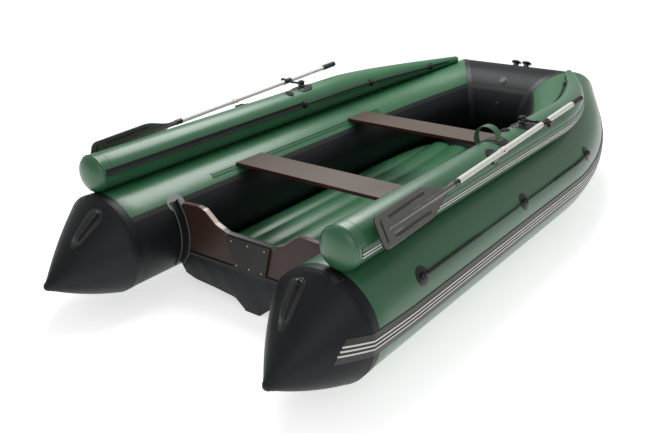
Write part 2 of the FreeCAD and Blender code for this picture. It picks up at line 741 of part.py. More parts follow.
def transom(clearance):
    corner_out = R + float(size.corner_proud)
    corner = float(GAUGE) - corner_out * cos(size.corner_angle)
    corner_height = R + corner_out * sin(size.corner_angle)
    chamfer = float(size.corner_cut)
    foot_half = BOTTOM_HALF - float(size.deck_edge_gap) - GAP
    ear_height = R + float(size.ear_rise)
    notch = float(size.notch_half_width)
    slope_foot = NOTCH_HEIGHT + float(size.slope_foot_rise)
    right = [
        (foot_half, float(size.deck_bottom)),
        (foot_half, R),
        (corner, corner_height),
        (corner - chamfer, corner_height + chamfer),
        (float(size.ear_outer), ear_height),
        (float(size.ear_inner), ear_height - float(size.ear_fall)),
        (notch + float(size.slope_out), (2 * NOTCH_HEIGHT + ear_height) / 3),
        (notch + float(size.slope_foot_out), slope_foot),
        (notch - float(size.slope_foot_rise), NOTCH_HEIGHT),
    ]
    points = right + [(-x, height) for x, height in reversed(right)]
    place = Placement(spot(0, size.board_station, 0), STAND_UP)
    board = extrude("board_run", outline("board_outline", place, points), Vector(0, 1, 0), size.board_thick)
    node("transom_board", cut("board_trimmed", board, clearance))
    aft_face = float(size.board_station) - GAP
    engine_plate("engine_plate", aft_face - float(size.plate_thick), size.plate_thick, size.plate_height)
    inner_face = float(size.board_station) + float(size.board_thick) + GAP
    engine_plate("inner_plate", inner_face, size.inner_plate_thick, size.inner_plate_height)
    transom_skirt(aft_face)
    transom_profiles(aft_face)


def engine_plate(label, station, thick, height):
    bottom = PLATE_TOP - float(height)
    top_half = float(size.plate_top_half)
    bottom_half = float(size.plate_bottom_half)
    points = [(top_half, PLATE_TOP), (bottom_half, bottom), (-bottom_half, bottom), (-top_half, PLATE_TOP)]
    sketch = outline(label + "_outline", Placement(spot(0, station, 0), STAND_UP), points)
    node(label, extrude(label + "_run", sketch, Vector(0, 1, 0), thick))


def transom_skirt(aft_face):
    """Fabric over the lower part of the transom, down to the keel."""
    station = aft_face - float(size.skirt_thick)
    top = PLATE_TOP - float(size.plate_height) - GAP
    reach = float(GAUGE)
    shape = [(reach, top), (reach, EDGE_HEIGHT)] + bottom_points(BOTTOM_HALF, EDGE_HEIGHT, KEEL_HEIGHT)
    shape += [(-reach, EDGE_HEIGHT), (-reach, top)]
    sketch = outline("skirt_outline", Placement(spot(0, station, 0), STAND_UP), shape)
    skirt = extrude("skirt_run", sketch, Vector(0, 1, 0), size.skirt_thick)
    edge = size.tube_radius + size.flap_flange + size.seat_gap * 2
    rings = [cylinder(f"skirt_edge_{tag}", edge, size.skirt_thick * 4,
                      spot(side * float(GAUGE), station - float(size.skirt_thick), R), Vector(0, 1, 0))
             for side, tag in SIDES]
    node("transom_skirt", cut("skirt_cut", skirt, fuse("skirt_edges", rings)))


def transom_profiles(aft_face):
    """Rubber profiles that hold the transom between the tubes."""
    inner = size.tube_radius + size.seat_gap
    for side, tag in SIDES:
        low = clock(size.flap_low, side)
        high = clock(size.flap_high, side)

        def sleeve(name, place):
            return band_section(name, place, Vector(), inner, inner + size.flap_thick, low, high)

        def flange(name, place):
            return band_section(name, place, Vector(), inner, inner + size.flap_flange, low, high)
        pieces = [
            follow(f"flap_{tag}", side, sleeve, start=aft_face - float(size.flap_length),
                   straight=size.flap_length),
            follow(f"flange_{tag}", side, flange, start=aft_face - float(size.flap_thick),
                   straight=size.flap_thick),
        ]
        node(f"transom_profile_{tag}", fuse(f"profile_{tag}", pieces))


# Rub strakes, the fenders' strakes and the seat rails.
SIDE_PLANE = Rotation(Vector(0, 1, 0), Vector(0, 0, 1), Vector(1, 0, 0), "ZXY")
LIFT_STEPS = 4
TRIM_LAST = 0.8
TRIM_STEPS = 5


def strakes():
    for side, tag in SIDES:
        rub_strake(side, tag)
        fender_strake(side, tag)
        seat_rail(side, tag)
    inner = size.tube_radius + size.seat_gap

    def front_section(name, place):
        return band_section(name, place, Vector(), inner, inner + size.strake_thick,
                            front_clock(size.strake_low), front_clock(size.strake_high))
    node("rub_strake_front", front_run("strake_front", front_section))


def rub_strake(side, tag):
    inner = size.tube_radius + size.seat_gap

    def section(name, place, lift=0.0):
        low = clock(float(size.strake_low) + lift, side)
        high = clock(float(size.strake_high) + lift, side)
        return band_section(name, place, Vector(), inner, inner + size.strake_thick, low, high)
    start = size.strake_lift_start
    run = follow(f"strake_{tag}", side, section, start=start, straight=size.tube_straight - start,
                 bend=size.bow_turn, tail=TAIL_SPARE)
    rings = []
    for index in range(LIFT_STEPS):
        share = index / (LIFT_STEPS - 1)
        place = section_at(tube_place(side, float(start) * (1 - share)))
        lift = float(size.strake_lift) * share ** TAPER_POWER
        rings.append(section(f"strake_ring{index}_{tag}", place, lift))
    climb = doc.addObject("Part::Loft", f"strake_climb_{tag}")
    climb.Sections = rings
    climb.Solid = True
    pieces = [mitred(f"strake_cut_{tag}", side, run), climb, strake_tail(side, tag)]
    node(f"rub_strake_{tag}", fuse(f"strake_whole_{tag}", pieces))


def strake_tail(side, tag):
    """The strake's aft stretch, which climbs over the stern cone and is cut off at a slant."""
    reach = R + STRAKE_OUT
    low = R + reach * sin(float(size.strake_low) + float(size.strake_lift))
    high = R + reach * sin(float(size.strake_high) + float(size.strake_lift))
    slope = math.tan(math.radians(float(size.tail_rise)))
    top_length = float(size.tail_top_length)
    low_length = float(size.tail_low_length)
    points = [(0.0, low), (0.0, high), (-top_length, high + slope * top_length),
              (-low_length, low + slope * low_length)]
    place = Placement(spot(side * float(GAUGE), 0, 0), SIDE_PLANE)
    window = extrude(f"tail_window_{tag}", outline(f"tail_outline_{tag}", place, points), Vector(side, 0, 0),
                     size.tube_radius * 2)
    outer = cone(f"tail_outer_{tag}", side, size.seat_gap + size.strake_thick)
    inner = cone(f"tail_inner_{tag}", side, size.seat_gap)
    return common(f"strake_tail_{tag}", cut(f"tail_shell_{tag}", outer, inner), window)


def fender_strake(side, tag):
    low = clock(size.trim_low, side)
    high = clock(size.trim_high, side)

    def band(name, place, radius):
        centre = fender_centre(side, radius)
        inner = radius + size.seat_gap
        return band_section(name, place, centre, inner, inner + size.trim_thick, low, high)

    def trim(name, place):
        return band(name, place, size.fender_radius)
    straight = follow(f"trim_{tag}", side, trim, start=size.trim_start,
                      straight=size.tube_straight - size.trim_start)
    taper = fender_taper(f"trim_taper_{tag}", side, band, last=TRIM_LAST, steps=TRIM_STEPS)
    node(f"fender_strake_{tag}", fuse(f"trim_whole_{tag}", [straight, taper]))


def seat_rail(side, tag):
    inner = size.tube_radius + size.seat_gap
    low = clock(180.0 - float(size.rail_low), side)
    high = clock(180.0 - float(size.rail_high), side)

    def section(name, place):
        return band_section(name, place, Vector(), inner, inner + size.rail_thick, low, high)
    turn = math.degrees((float(size.rail_end) - float(size.tube_straight)) / float(size.bow_radius))
    node(f"seat_rail_{tag}", follow(f"rail_{tag}", side, section, start=size.rail_start,
                                    straight=size.tube_straight - size.rail_start, bend=turn))


# Thwarts of plywood, with their ends bevelled to lie on the rails.
def thwarts():
    seat = R + 3 * GAP + float(size.rail_thick)
    low = float(size.rail_low) + float(size.thwart_seat_low)
    high = float(size.rail_high) - float(size.thwart_seat_high)
    under = R + seat * sin(low)
    end = float(GAUGE) - seat * cos(high)
    right = [(float(GAUGE) - seat * cos(low), under), (end, R + seat * sin(high)),
             (end, under + float(size.thwart_thick))]
    points = right + [(-x, height) for x, height in reversed(right)]
    middles = (("thwart_aft", size.thwart_aft_station), ("thwart_forward", size.thwart_forward_station))
    for label, middle in middles:
        station = middle - size.thwart_width / 2
        sketch = outline(label + "_outline", Placement(spot(0, station, 0), STAND_UP), points)
        node(label, extrude(label + "_run", sketch, Vector(0, 1, 0), size.thwart_width))


# Oars in their oarlocks.
FENDER_X, FENDER_HEIGHT = fender_axis(1)
CROWN = FENDER_HEIGHT + float(size.fender_radius)
LOCK_HEIGHT = CROWN + float(size.lock_clearance) + float(size.collar_radius)
UP = Vector(0, 0, 1)
AHEAD = Vector(0, 1, 0)
SLOPE = Rotation(Vector(1, 0, 0), float(size.oar_slope))


def oars():
    for side, tag in SIDES:
        lock = spot(side * (FENDER_X + float(size.lock_arm)), size.lock_station, LOCK_HEIGHT)
        oarlock(side, tag, lock)
        oar(side, tag, lock)
        blade(side, tag, lock - SLOPE.multVec(AHEAD) * (float(size.shaft_outboard) + GAP))


def oarlock(side, tag, lock):
    """Pad with an upright pin, and the turning oarlock on that pin."""
    centre = fender_centre(side)
    half = float(size.pad_width_angle) / 2

    def pad(name, place):
        inner = size.fender_radius + size.seat_gap
        return band_section(name, place, centre, inner, inner + size.pad_thick,
                            clock(90 - half, side), clock(90 + half, side))
    base = follow(f"pad_{tag}", side, pad, start=size.lock_station - size.pad_length / 2,
                  straight=size.pad_length)
    foot = spot(side * FENDER_X, size.lock_station, CROWN + GAP)
    boss_top = size.pad_thick + size.boss_height
    hub_height = 2 * (LOCK_HEIGHT - CROWN - GAP - float(boss_top) - float(size.hub_gap))
    pin_height = boss_top + hub_height + size.hub_gap * 2
    boss = cylinder(f"boss_{tag}", size.boss_radius, boss_top, foot, UP)
    pin = cylinder(f"pin_{tag}", size.pin_radius, pin_height, foot, UP)
    head_foot = foot + UP * float(pin_height)
    head = cylinder(f"pin_head_{tag}", size.pin_head_radius, size.pin_head_height, head_foot, UP)
    node(f"oarlock_pad_{tag}", fuse(f"pad_whole_{tag}", [base, boss, pin, head]))

    hub_foot = foot + UP * float(boss_top + size.hub_gap)
    hub = cylinder(f"hub_{tag}", size.hub_radius, hub_height, hub_foot, UP)
    hole = cylinder(f"hub_hole_{tag}", size.pin_radius + size.pin_clearance, hub_height, hub_foot, UP)
    out = Vector(side, 0, 0)
    arm_inset = float(size.pin_radius) / 2
    pin_middle = spot(side * FENDER_X, size.lock_station, LOCK_HEIGHT)
    arm_start = pin_middle + out * (float(size.pin_radius) + arm_inset)
    knob_start = lock + out * (float(size.collar_radius) + float(size.hub_gap) * 4)
    arm = cylinder(f"arm_{tag}", size.arm_radius, (knob_start - arm_start).Length + arm_inset, arm_start, out)
    pieces = [hub, arm]
    core_radius = size.knob_radius - size.knob_lobe_radius
    pieces.append(cylinder(f"knob_{tag}", core_radius, size.knob_length, knob_start, out))
    count = int(float(size.knob_lobe_count))
    for index in range(count):
        angle = 90 + 360 * index / count
        shift = Vector(0, cos(angle), sin(angle)) * float(core_radius)
        pieces.append(cylinder(f"knob_lobe{index}_{tag}", size.knob_lobe_radius, size.knob_length,
                               knob_start + shift, out))
    node(f"oarlock_{tag}", cut(f"lock_{tag}", fuse(f"lock_body_{tag}", pieces), hole))


def oar(side, tag, lock):
    """Shaft with its two collars and its grip."""
    along = SLOPE.multVec(AHEAD)
    shaft = cylinder(f"shaft_rod_{tag}", size.shaft_radius, size.shaft_inboard + size.shaft_outboard,
                     lock - along * float(size.shaft_outboard), along)
    bore_reach = size.collar_radius * 2
    bore = cylinder(f"shaft_bore_{tag}", size.arm_radius + size.pin_clearance, bore_reach * 2,
                    lock - Vector(side, 0, 0) * float(bore_reach), Vector(side, 0, 0))
    node(f"oar_shaft_{tag}", cut(f"shaft_{tag}", shaft, bore))
    pieces = []
    inner_radius = size.shaft_radius + size.seat_gap / 3
    places = ((0.0, size.collar_length), (-float(size.sleeve_station), size.sleeve_length))
    for index, (middle, length) in enumerate(places):
        foot = lock + along * (middle - float(length) / 2)
        outer = cylinder(f"collar_outer{index}_{tag}", size.collar_radius, length, foot, along)
        inner = cylinder(f"collar_inner{index}_{tag}", inner_radius, length, foot, along)
        pieces.append(cut(f"collar{index}_{tag}", outer, inner))
    node(f"oar_collars_{tag}", cut(f"collars_bored_{tag}", compound(f"collars_{tag}", pieces), bore))
    grip_foot = lock + along * (float(size.shaft_inboard) + GAP)
    node(f"oar_grip_{tag}", cylinder(f"grip_{tag}", size.grip_radius, size.grip_length, grip_foot, along))


SHOULDER_STEPS = 6
CORNER_STEPS = 4
# Raised bars of the blade: share of the half width from the spine, share of the free length behind the tip.
BLADE_BARS = ((0.42, 0.1), (0.78, 0.0), (-0.42, 0.1), (-0.78, 0.0))


def blade_edge():
    """Edge of the blade above its spine, from the neck to the tip."""
    neck = float(size.shaft_radius)
    half = float(size.blade_width) / 2
    long = float(size.blade_length)
    corner = float(size.blade_corner)
    edge = [(0.0, neck)]
    for index in range(SHOULDER_STEPS + 1):
        share = index / SHOULDER_STEPS
        swell = share * share * (3 - 2 * share)
        along = float(size.blade_neck) + float(size.blade_shoulder) * share
        edge.append((-along, neck + (half - neck) * swell))
    for index in range(CORNER_STEPS + 1):
        angle = 90 * index / CORNER_STEPS
        edge.append((-long + corner - corner * sin(angle), half - corner + corner * cos(angle)))
    return edge


def blade(side, tag, neck):
    """Blade in its own plane, which leans inboard at the top."""
    lean = Rotation(AHEAD, -side * float(size.blade_lean))
    upper = blade_edge()
    points = upper + [(y, -z) for y, z in reversed(upper)]
    plane = SLOPE.multiply(lean).multiply(SIDE_PLANE)
    normal = plane.multVec(UP)
    thick = float(size.blade_thick)
    place = Placement(neck - normal * (thick / 2), plane)
    flat = outline(f"blade_outline_{tag}", place, points)
    board = extrude(f"blade_sheet_{tag}", flat, normal, size.blade_thick)
    spine = doc.addObject("Part::Cone", f"blade_spine_{tag}")
    spine.Placement = Placement(neck, Rotation(UP, SLOPE.multVec(AHEAD * -1)))
    bind(spine, Radius1=size.shaft_radius, Radius2=size.blade_thick * 0.75,
         Height=size.blade_length - size.blade_corner * 2)
    pieces = [board, spine]
    half = float(size.blade_width) / 2
    bar_thick = size.blade_thick + size.blade_bar_rise * 2
    length = float(size.blade_bar_length)
    for index, (across, back) in enumerate(BLADE_BARS):
        start = -float(size.blade_length) + float(size.blade_corner) + back * length
        height = half * across - float(size.blade_bar_width) / 2
        bar = doc.addObject("Part::Box", f"blade_bar{index}_{tag}")
        corner = neck + plane.multVec(Vector(start, height, -float(bar_thick) / 2))
        bar.Placement = Placement(corner, plane)
        pieces.append(bind(bar, Length=size.blade_bar_length, Width=size.blade_bar_width, Height=bar_thick))
    node(f"oar_blade_{tag}", fuse(f"blade_{tag}", pieces))


# Small fittings.
SPREAD = 1.3


def fittings():
    holders()
    strap()
    handles()
    grab_lines()
    valves()
    bow_fitting()
    corner_patches()


def on_tube(side, way, angle, fender=False):
    """Centre of the section, tube's radius and outward direction at a place of a tube."""
    frame = tube_place(side, way)
    centre = in_frame(frame, fender_centre(side) if fender else Vector())
    out = frame.Rotation.multVec(Vector(cos(clock(angle, side)), 0, sin(clock(angle, side))))
    return centre, size.fender_radius if fender else size.tube_radius, out


def disc(name, side, way, angle, radius, thick, fender=False):
    """Round patch on a tube: a thin shell of the tube's curve, cut round."""
    centre, tube, out = on_tube(side, way, angle, fender)
    flat_centre = fender_centre(side) if fender else Vector()
    half = float(radius) * SPREAD
    spread = math.degrees(half / float(tube))

    def band(section_name, place):
        inner = tube + size.seat_gap
        return band_section(section_name, place, flat_centre, inner, inner + thick,
                            clock(float(angle) - spread, side), clock(float(angle) + spread, side))
    if float(way) + half < float(size.tube_straight):
        shell = follow(name + "_shell", side, band, start=float(way) - half, straight=2 * half)
    else:
        shell = follow(name + "_shell", side, band, bend=size.bow_turn)
    return common(name, shell, cylinder(name + "_punch", radius, tube * 2, centre, out))


def holders():
    """Rests under the stowed oars."""
    pieces = []
    for side, tag in SIDES:
        patch = disc(f"holder_patch_{tag}", side, size.holder_station, size.holder_angle, size.patch_radius,
                     size.patch_thick, fender=True)
        run = float(size.lock_station) - float(size.holder_station)
        shaft_height = LOCK_HEIGHT - run * math.tan(math.radians(float(size.oar_slope)))
        top = shaft_height - float(size.shaft_radius) - float(size.holder_gap)
        foot_height = top - float(size.holder_block)
        block_x = FENDER_X + (float(size.fender_radius) + float(size.seat_gap)) * cos(size.holder_angle)
        block_x += float(size.boss_height)
        block = box(f"holder_block_{tag}", size.holder_width, size.holder_length, size.holder_block,
                    spot(side * block_x, size.holder_station, foot_height))
        start = spot(side * FENDER_X, float(size.holder_station) - float(size.holder_length), FENDER_HEIGHT)
        space = cylinder(f"holder_space_{tag}", size.fender_radius + size.seat_gap + size.patch_thick / 2,
                         size.holder_length * 2, start, AHEAD)
        pieces.append(fuse(f"holder_{tag}", [patch, cut(f"holder_cut_{tag}", block, space)]))
    node("oar_holders", compound("holders_all", pieces))


def strap():
    """Webbing loop that arches across the starboard fender, and the patch that its ends are glued to."""
    side = SIDES[0][0]
    centre = fender_centre(side)
    base = size.fender_radius + size.seat_gap
    seat = base + size.patch_thick + size.seat_gap
    thick = float(size.strap_thick)
    half = float(size.strap_span_angle) / 2
    middle = float(size.strap_angle)
    foot_out = float(seat) * sin(half)
    foot_up = float(seat) * cos(half)
    arch_rise = float(seat) + float(size.strap_rise) - foot_up
    arch_radius = (foot_out ** 2 + arch_rise ** 2) / (2 * arch_rise)
    arch_centre = centre + polar(foot_up + arch_rise - arch_radius, clock(middle, side))

    def arch(name, place):
        sketch = sketch_at(name, place)
        for radius in (arch_radius, arch_radius + thick):
            sketch.addGeometry(Part.Circle(arch_centre, UP, radius))
        return sketch

    def inside(name, place):
        return round_section(name, place, centre, seat)

    def patch(name, place):
        return band_section(name, place, centre, base, base + size.patch_thick,
                            clock(size.strap_base_low, side), clock(size.strap_base_high, side))
    start = size.strap_station - size.strap_width / 2
    ring = follow("strap_ring", side, arch, start=start, straight=size.strap_width)
    core = follow("strap_core", side, inside, start=start - thick, straight=size.strap_width + 2 * thick)
    pieces = [cut("strap_arch", ring, core)]
    for way in (-1, 1):
        def foot(name, place):
            return band_section(name, place, centre, seat, seat + thick, clock(middle + way * half, side),
                                clock(middle + way * (half + float(size.strap_foot_angle)), side))
        pieces.append(follow(f"strap_foot{way + 1}", side, foot, start=start, straight=size.strap_width))
    node("loop_strap", fuse("strap_whole", pieces))
    base_start = size.strap_station - size.strap_base_length / 2
    node("strap_base", follow("strap_patch", side, patch, start=base_start, straight=size.strap_base_length))


def arch_sketch(name, place, sunk):
    """Side view of an arched grip with rounded shoulders, its feet sunk below the base."""
    half = float(size.handle_length) / 2
    rise = float(size.handle_rise)
    sketch = sketch_at(name, place)
    for inset in (0.0, float(size.handle_bar)):
        turn = float(size.handle_round) - inset
        side_x = half - inset
        top = rise - inset
        middle = turn * (1 - math.sqrt(0.5))
        sketch.addGeometry(Part.LineSegment(Vector(turn - side_x, top, 0), Vector(side_x - turn, top, 0)))
        for way in (1, -1):
            foot = Vector(way * side_x, -sunk, 0)
            low = Vector(way * side_x, top - turn, 0)
            high = Vector(way * (side_x - turn), top, 0)
            sketch.addGeometry(Part.LineSegment(foot, low))
            sketch.addGeometry(Part.Arc(low, Vector(way * (side_x - middle), top - middle, 0), high))
    for way in (1, -1):
        inner_foot = Vector(way * (half - float(size.handle_bar)), -sunk, 0)
        sketch.addGeometry(Part.LineSegment(Vector(way * half, -sunk, 0), inner_foot))
    return sketch


def handles():
    """Moulded handles on top of the stern cones: an oval base and an arched grip."""
    share = float(size.handle_back) / CONE_LONG
    narrowing = R - float(size.cone_tip_radius)
    slope = math.degrees(math.atan2(narrowing + float(size.cone_droop) * sin(size.handle_clock), CONE_LONG))
    surface = R - narrowing * share + float(size.cone_fullness) * (1 - share)
    sunk = float(size.handle_rise)
    for side, tag in SIDES:
        out = Vector(side * cos(size.handle_clock), 0, sin(size.handle_clock))
        tilt = Rotation(out.cross(AHEAD), -slope)
        along = tilt.multVec(AHEAD)
        up = tilt.multVec(out)
        centre = spot(side * float(GAUGE), -float(size.handle_back), R - float(size.cone_droop) * share)
        foot = centre + out * surface
        across = along.cross(up)
        oval = Placement(foot - up * sunk, Rotation(along, across * -1, up, "XYZ"))
        base_sketch = sketch_at(f"handle_oval_{tag}", oval)
        base_sketch.addGeometry(Part.Ellipse(Vector(), float(size.handle_base_length) / 2,
                                             float(size.handle_base_width) / 2))
        punch = extrude(f"handle_punch_{tag}", base_sketch, up, 2 * sunk)
        seat_outer = cone(f"handle_outer_{tag}", side, size.seat_gap + size.handle_base_thick)
        seat_inner = cone(f"handle_inner_{tag}", side, size.seat_gap)
        shell = cut(f"handle_shell_{tag}", seat_outer, seat_inner)
        base = common(f"handle_base_{tag}", shell, punch)
        place = Placement(foot + across * (float(size.handle_width) / 2), Rotation(along, up, across, "XYZ"))
        arch = extrude(f"handle_arch_{tag}", arch_sketch(f"handle_view_{tag}", place, sunk), across * -1,
                       size.handle_width)
        free = cut(f"handle_arch_free_{tag}", arch,
                   cone(f"handle_middle_{tag}", side, size.seat_gap + size.handle_base_thick / 2))
        node(f"cone_handle_{tag}", fuse(f"handle_{tag}", [base, free]))


LINE_OUT = size.seat_gap * 2 + size.patch_thick + size.line_double_radius
# Shares of the fender's bow end: its second and third cleats, and its last strip.
INNER_CLEATS = (0.235, 0.78)
STRIP_LAST = (0.81, 0.93)


def line_hole(name, middle, along):
    """Hole through a cleat for its line."""
    half = float(size.cleat_radius) * 2
    return cylinder(name, size.line_double_radius + size.seat_gap, 2 * half, middle - along * half, along)


def cleat(name, side, way, angle, radius, fender=False):
    """Round foot with a boss that the line goes through."""
    foot = disc(name + "_foot", side, way, angle, radius, size.patch_thick, fender)
    centre, tube, out = on_tube(side, way, angle, fender)
    start = float(tube) + GAP + float(size.patch_thick) / 3
    boss = cylinder(name + "_boss", size.cleat_radius, size.cleat_rise, centre + out * start, out)
    along = tube_place(side, way).Rotation.multVec(AHEAD)
    hole = line_hole(name + "_hole", centre + out * float(tube + LINE_OUT), along)
    return cut(name, fuse(name + "_whole", [foot, boss]), hole)


def inner_rope_point(side, share):
    """Axis of the inner line at a share of the fender's bow end."""
    radius, frame = fender_ring(side, share)
    flat = fender_centre(side, radius) + polar(radius + LINE_OUT, clock(size.inner_line_clock, side))
    return in_frame(frame, flat)


def bow_cleat(name, side, share, free_fender):
    """Cleat on the fender's tapered bow end."""
    radius, frame = fender_ring(side, share)
    centre = in_frame(frame, fender_centre(side, radius))
    angle = clock(size.inner_line_clock, side)
    out = frame.Rotation.multVec(Vector(cos(angle), 0, sin(angle)))
    sunk = float(size.inner_patch_radius) / 2
    foot = cylinder(name + "_foot", size.inner_patch_radius, size.patch_thick + sunk,
                    centre + out * (float(radius) - sunk), out)
    boss = cylinder(name + "_boss", size.cleat_radius, size.cleat_rise, centre + out * float(radius), out)
    along = (inner_rope_point(side, share + 0.02) - inner_rope_point(side, share - 0.02)).normalize()
    hole = line_hole(name + "_hole", inner_rope_point(side, share), along)
    return cut(name, cut(name + "_seated", fuse(name + "_whole", [foot, boss]), free_fender), hole)


def outer_line(name, side):
    """Grab line along the side tube, doubled beside its first and last cleats."""
    centre = polar(size.tube_radius + LINE_OUT, clock(size.line_clock, side))
    end_turn = math.degrees((float(size.line_end) - float(size.tube_straight)) / float(size.bow_radius))
    first = float(size.line_start)
    thin_from = first + float(size.line_double)
    thin_to = float(size.line_end) - float(size.line_double)

    def double(section_name, place):
        return round_section(section_name, place, centre, size.line_double_radius)

    def single(section_name, place):
        return round_section(section_name, place, centre, size.line_radius)
    return fuse(name, [
        follow(name + "_aft", side, double, start=first, straight=thin_from - first),
        follow(name + "_middle", side, single, start=thin_from, straight=thin_to - thin_from),
        follow(name + "_fore", side, double, start=thin_to, straight=size.tube_straight - thin_to,
               bend=end_turn),
    ])


def inner_line(name, side):
    """Line along the fender's inner side, from the strip's end to the last cleat."""
    angle = clock(size.inner_line_clock, side)

    def rope(section_name, place, fender):
        centre = fender_centre(side, fender) + polar(fender + LINE_OUT, angle)
        return round_section(section_name, place, centre, size.line_double_radius)

    def straight_rope(section_name, place):
        return rope(section_name, place, size.fender_radius)
    run = follow(name + "_run", side, straight_rope, start=size.strip_end,
                 straight=size.tube_straight - size.strip_end)
    return fuse(name, [run, fender_taper(name + "_taper", side, rope, last=INNER_CLEATS[-1])])


def fender_strip(name, side):
    """Flat strips on the fender's inner side, before the first and after the last cleat."""
    low = clock(float(size.inner_line_clock) - float(size.strip_angle) / 2, side)
    high = clock(float(size.inner_line_clock) + float(size.strip_angle) / 2, side)

    def band(section_name, place, radius):
        inner = radius + size.seat_gap
        return band_section(section_name, place, fender_centre(side, radius), inner, inner + size.strip_thick,
                            low, high)

    def straight_band(section_name, place):
        return band(section_name, place, size.fender_radius)
    end = float(size.strip_end) - float(size.inner_patch_radius)
    aft = follow(name + "_aft", side, straight_band, start=size.fender_start,
                 straight=end - size.fender_start)
    fore = fender_taper(name + "_fore", side, band, first=STRIP_LAST[0], last=STRIP_LAST[1], steps=3)
    return [aft, fore]


def grab_lines():
    cleats, lines, inner_lines = [], [], []
    for side, tag in SIDES:
        cleats += [cleat(f"cleat{index}_{tag}", side, way, size.line_clock, size.patch_radius)
                   for index, way in enumerate((size.line_start, size.line_middle, size.line_end))]
        lines.append(outer_line(f"line_{tag}", side))
        cleats.append(cleat(f"inner_cleat_{tag}", side, size.strip_end, size.inner_line_clock,
                            size.inner_patch_radius, fender=True))
        free_fender = fender_bow(f"fender_clear_{tag}", side, size.seat_gap)
        cleats += [bow_cleat(f"bow_cleat{index}_{tag}", side, share, free_fender)
                   for index, share in enumerate(INNER_CLEATS)]
        inner_lines.append(inner_line(f"inner_line_{tag}", side))
        inner_lines += fender_strip(f"fender_strip_{tag}", side)
        cleats.append(disc(f"cap_patch_{tag}", side, size.cap_patch_station, size.cap_patch_clock,
                           size.cap_patch_radius, size.patch_thick))
    node("grab_line_patches", compound("cleats_all", cleats))
    node("grab_lines", compound("lines_all", lines))
    node("fender_lines", compound("inner_lines_all", inner_lines))


def front_disc(name, angle, radius, thick):
    """Round patch on the front tube, beside the middle line."""
    offset = float(size.front_valve_offset)
    half = float(radius) * SPREAD
    centre = spot(offset, FRONT_STATION, R + FRONT_RISE)
    start = centre - Vector(half, 0, 0)
    inner = size.tube_radius + size.seat_gap
    outer_shell = cylinder(name + "_outer", inner + thick, 2 * half, start, Vector(1, 0, 0))
    inner_shell = cylinder(name + "_inner", inner, 2 * half, start, Vector(1, 0, 0))
    punch = cylinder(name + "_punch", radius, size.tube_radius * 2, centre, Vector(0, cos(angle), sin(angle)))
    return common(name, cut(name + "_shell", outer_shell, inner_shell), punch)


def valves():
    """Inflation valves: a flange with a raised cap on each."""
    steps = ((size.valve_radius, size.valve_rise), (size.valve_cap_radius, size.valve_cap_rise))
    pieces = []
    places = ((size.side_valve_station, size.side_valve_clock, False),
              (size.fender_valve_station, size.fender_valve_clock, True))
    for side, tag in SIDES:
        for index, (way, angle, fender) in enumerate(places):
            discs = [disc(f"valve{index}{step}_{tag}", side, way, angle, radius, rise, fender)
                     for step, (radius, rise) in enumerate(steps)]
            pieces.append(fuse(f"valve{index}_{tag}", discs))
    discs = [front_disc(f"front_valve{step}", size.front_valve_angle, radius, rise)
             for step, (radius, rise) in enumerate(steps)]
    pieces.append(fuse("front_valve", discs))
    pieces.append(front_disc("front_valve_low", size.front_valve_low_angle, size.valve_cap_radius,
                             size.valve_rise))
    node("valves", compound("valves_all", pieces))


def bow_fitting():
    """Two round knobs on top of the front tube."""
    out = Vector(0, cos(size.bow_knob_angle), sin(size.bow_knob_angle))
    sunk = float(size.bow_knob_radius) / 4
    half = float(size.bow_knob_half_gap)
    knobs = [cylinder(f"bow_knob{index}", size.bow_knob_radius, size.bow_knob_rise + sunk,
                      spot(x, FRONT_STATION, R + FRONT_RISE) + out * (R - sunk), out)
             for index, x in enumerate((-half, half))]
    space = cylinder("bow_space", size.tube_radius + size.seat_gap, 4 * half,
                     spot(-2 * half, FRONT_STATION, R + FRONT_RISE), Vector(1, 0, 0))
    node("bow_fitting", cut("bow_fitting_cut", compound("bow_knobs", knobs), space))


def corner_patches():
    pieces = []
    for side, tag in SIDES:
        patch = disc(f"corner_disc_{tag}", side, size.board_station - size.corner_patch_back,
                     180 - float(size.corner_patch_angle), size.corner_patch_radius, size.corner_patch_thick)
        free = cut(f"corner_disc_free_{tag}", patch, doc.getObject(f"profile_{tag}"))
        pieces.append(cut(f"corner_patch_{tag}", free, doc.getObject("board_trimmed")))
    node("corner_patches", compound("corner_patches_all", pieces))


air_tubes()
fenders()
clear = tubes_clearance()
hull_bottom(clear)
floor_deck(clear)
transom(clear)
strakes()
thwarts()
oars()
fittings()
doc.recompute()

faults = []
for thing in doc.Objects:
    if "Invalid" in thing.State or "Error" in thing.State:
        faults.append(f"{thing.Name}: {thing.State}")
for thing in NODES:
    if thing.Shape.isNull() or not thing.Shape.isValid() or not thing.Shape.Solids:
        faults.append(f"{thing.Label}: no valid shape")
if faults:
    raise RuntimeError("; ".join(faults))

os.makedirs("parts", exist_ok=True)
for thing in NODES:
    thing.Shape.exportStep(f"parts/{thing.Label}.step")
    print(thing.Label, len(thing.Shape.Solids), round(thing.Shape.Volume / 1e6, 3))
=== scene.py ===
"""Looks of an inflatable rowing boat: its skins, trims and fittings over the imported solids."""

import logging
from dataclasses import dataclass, replace
from enum import Enum
from math import asin, atan2, copysign, cos, degrees, hypot, pi, radians, sin, sqrt, tan
from typing import Callable, Optional, Sequence

import bpy
import numpy as np
from mathutils import Matrix, Vector
from mathutils.geometry import interpolate_bezier


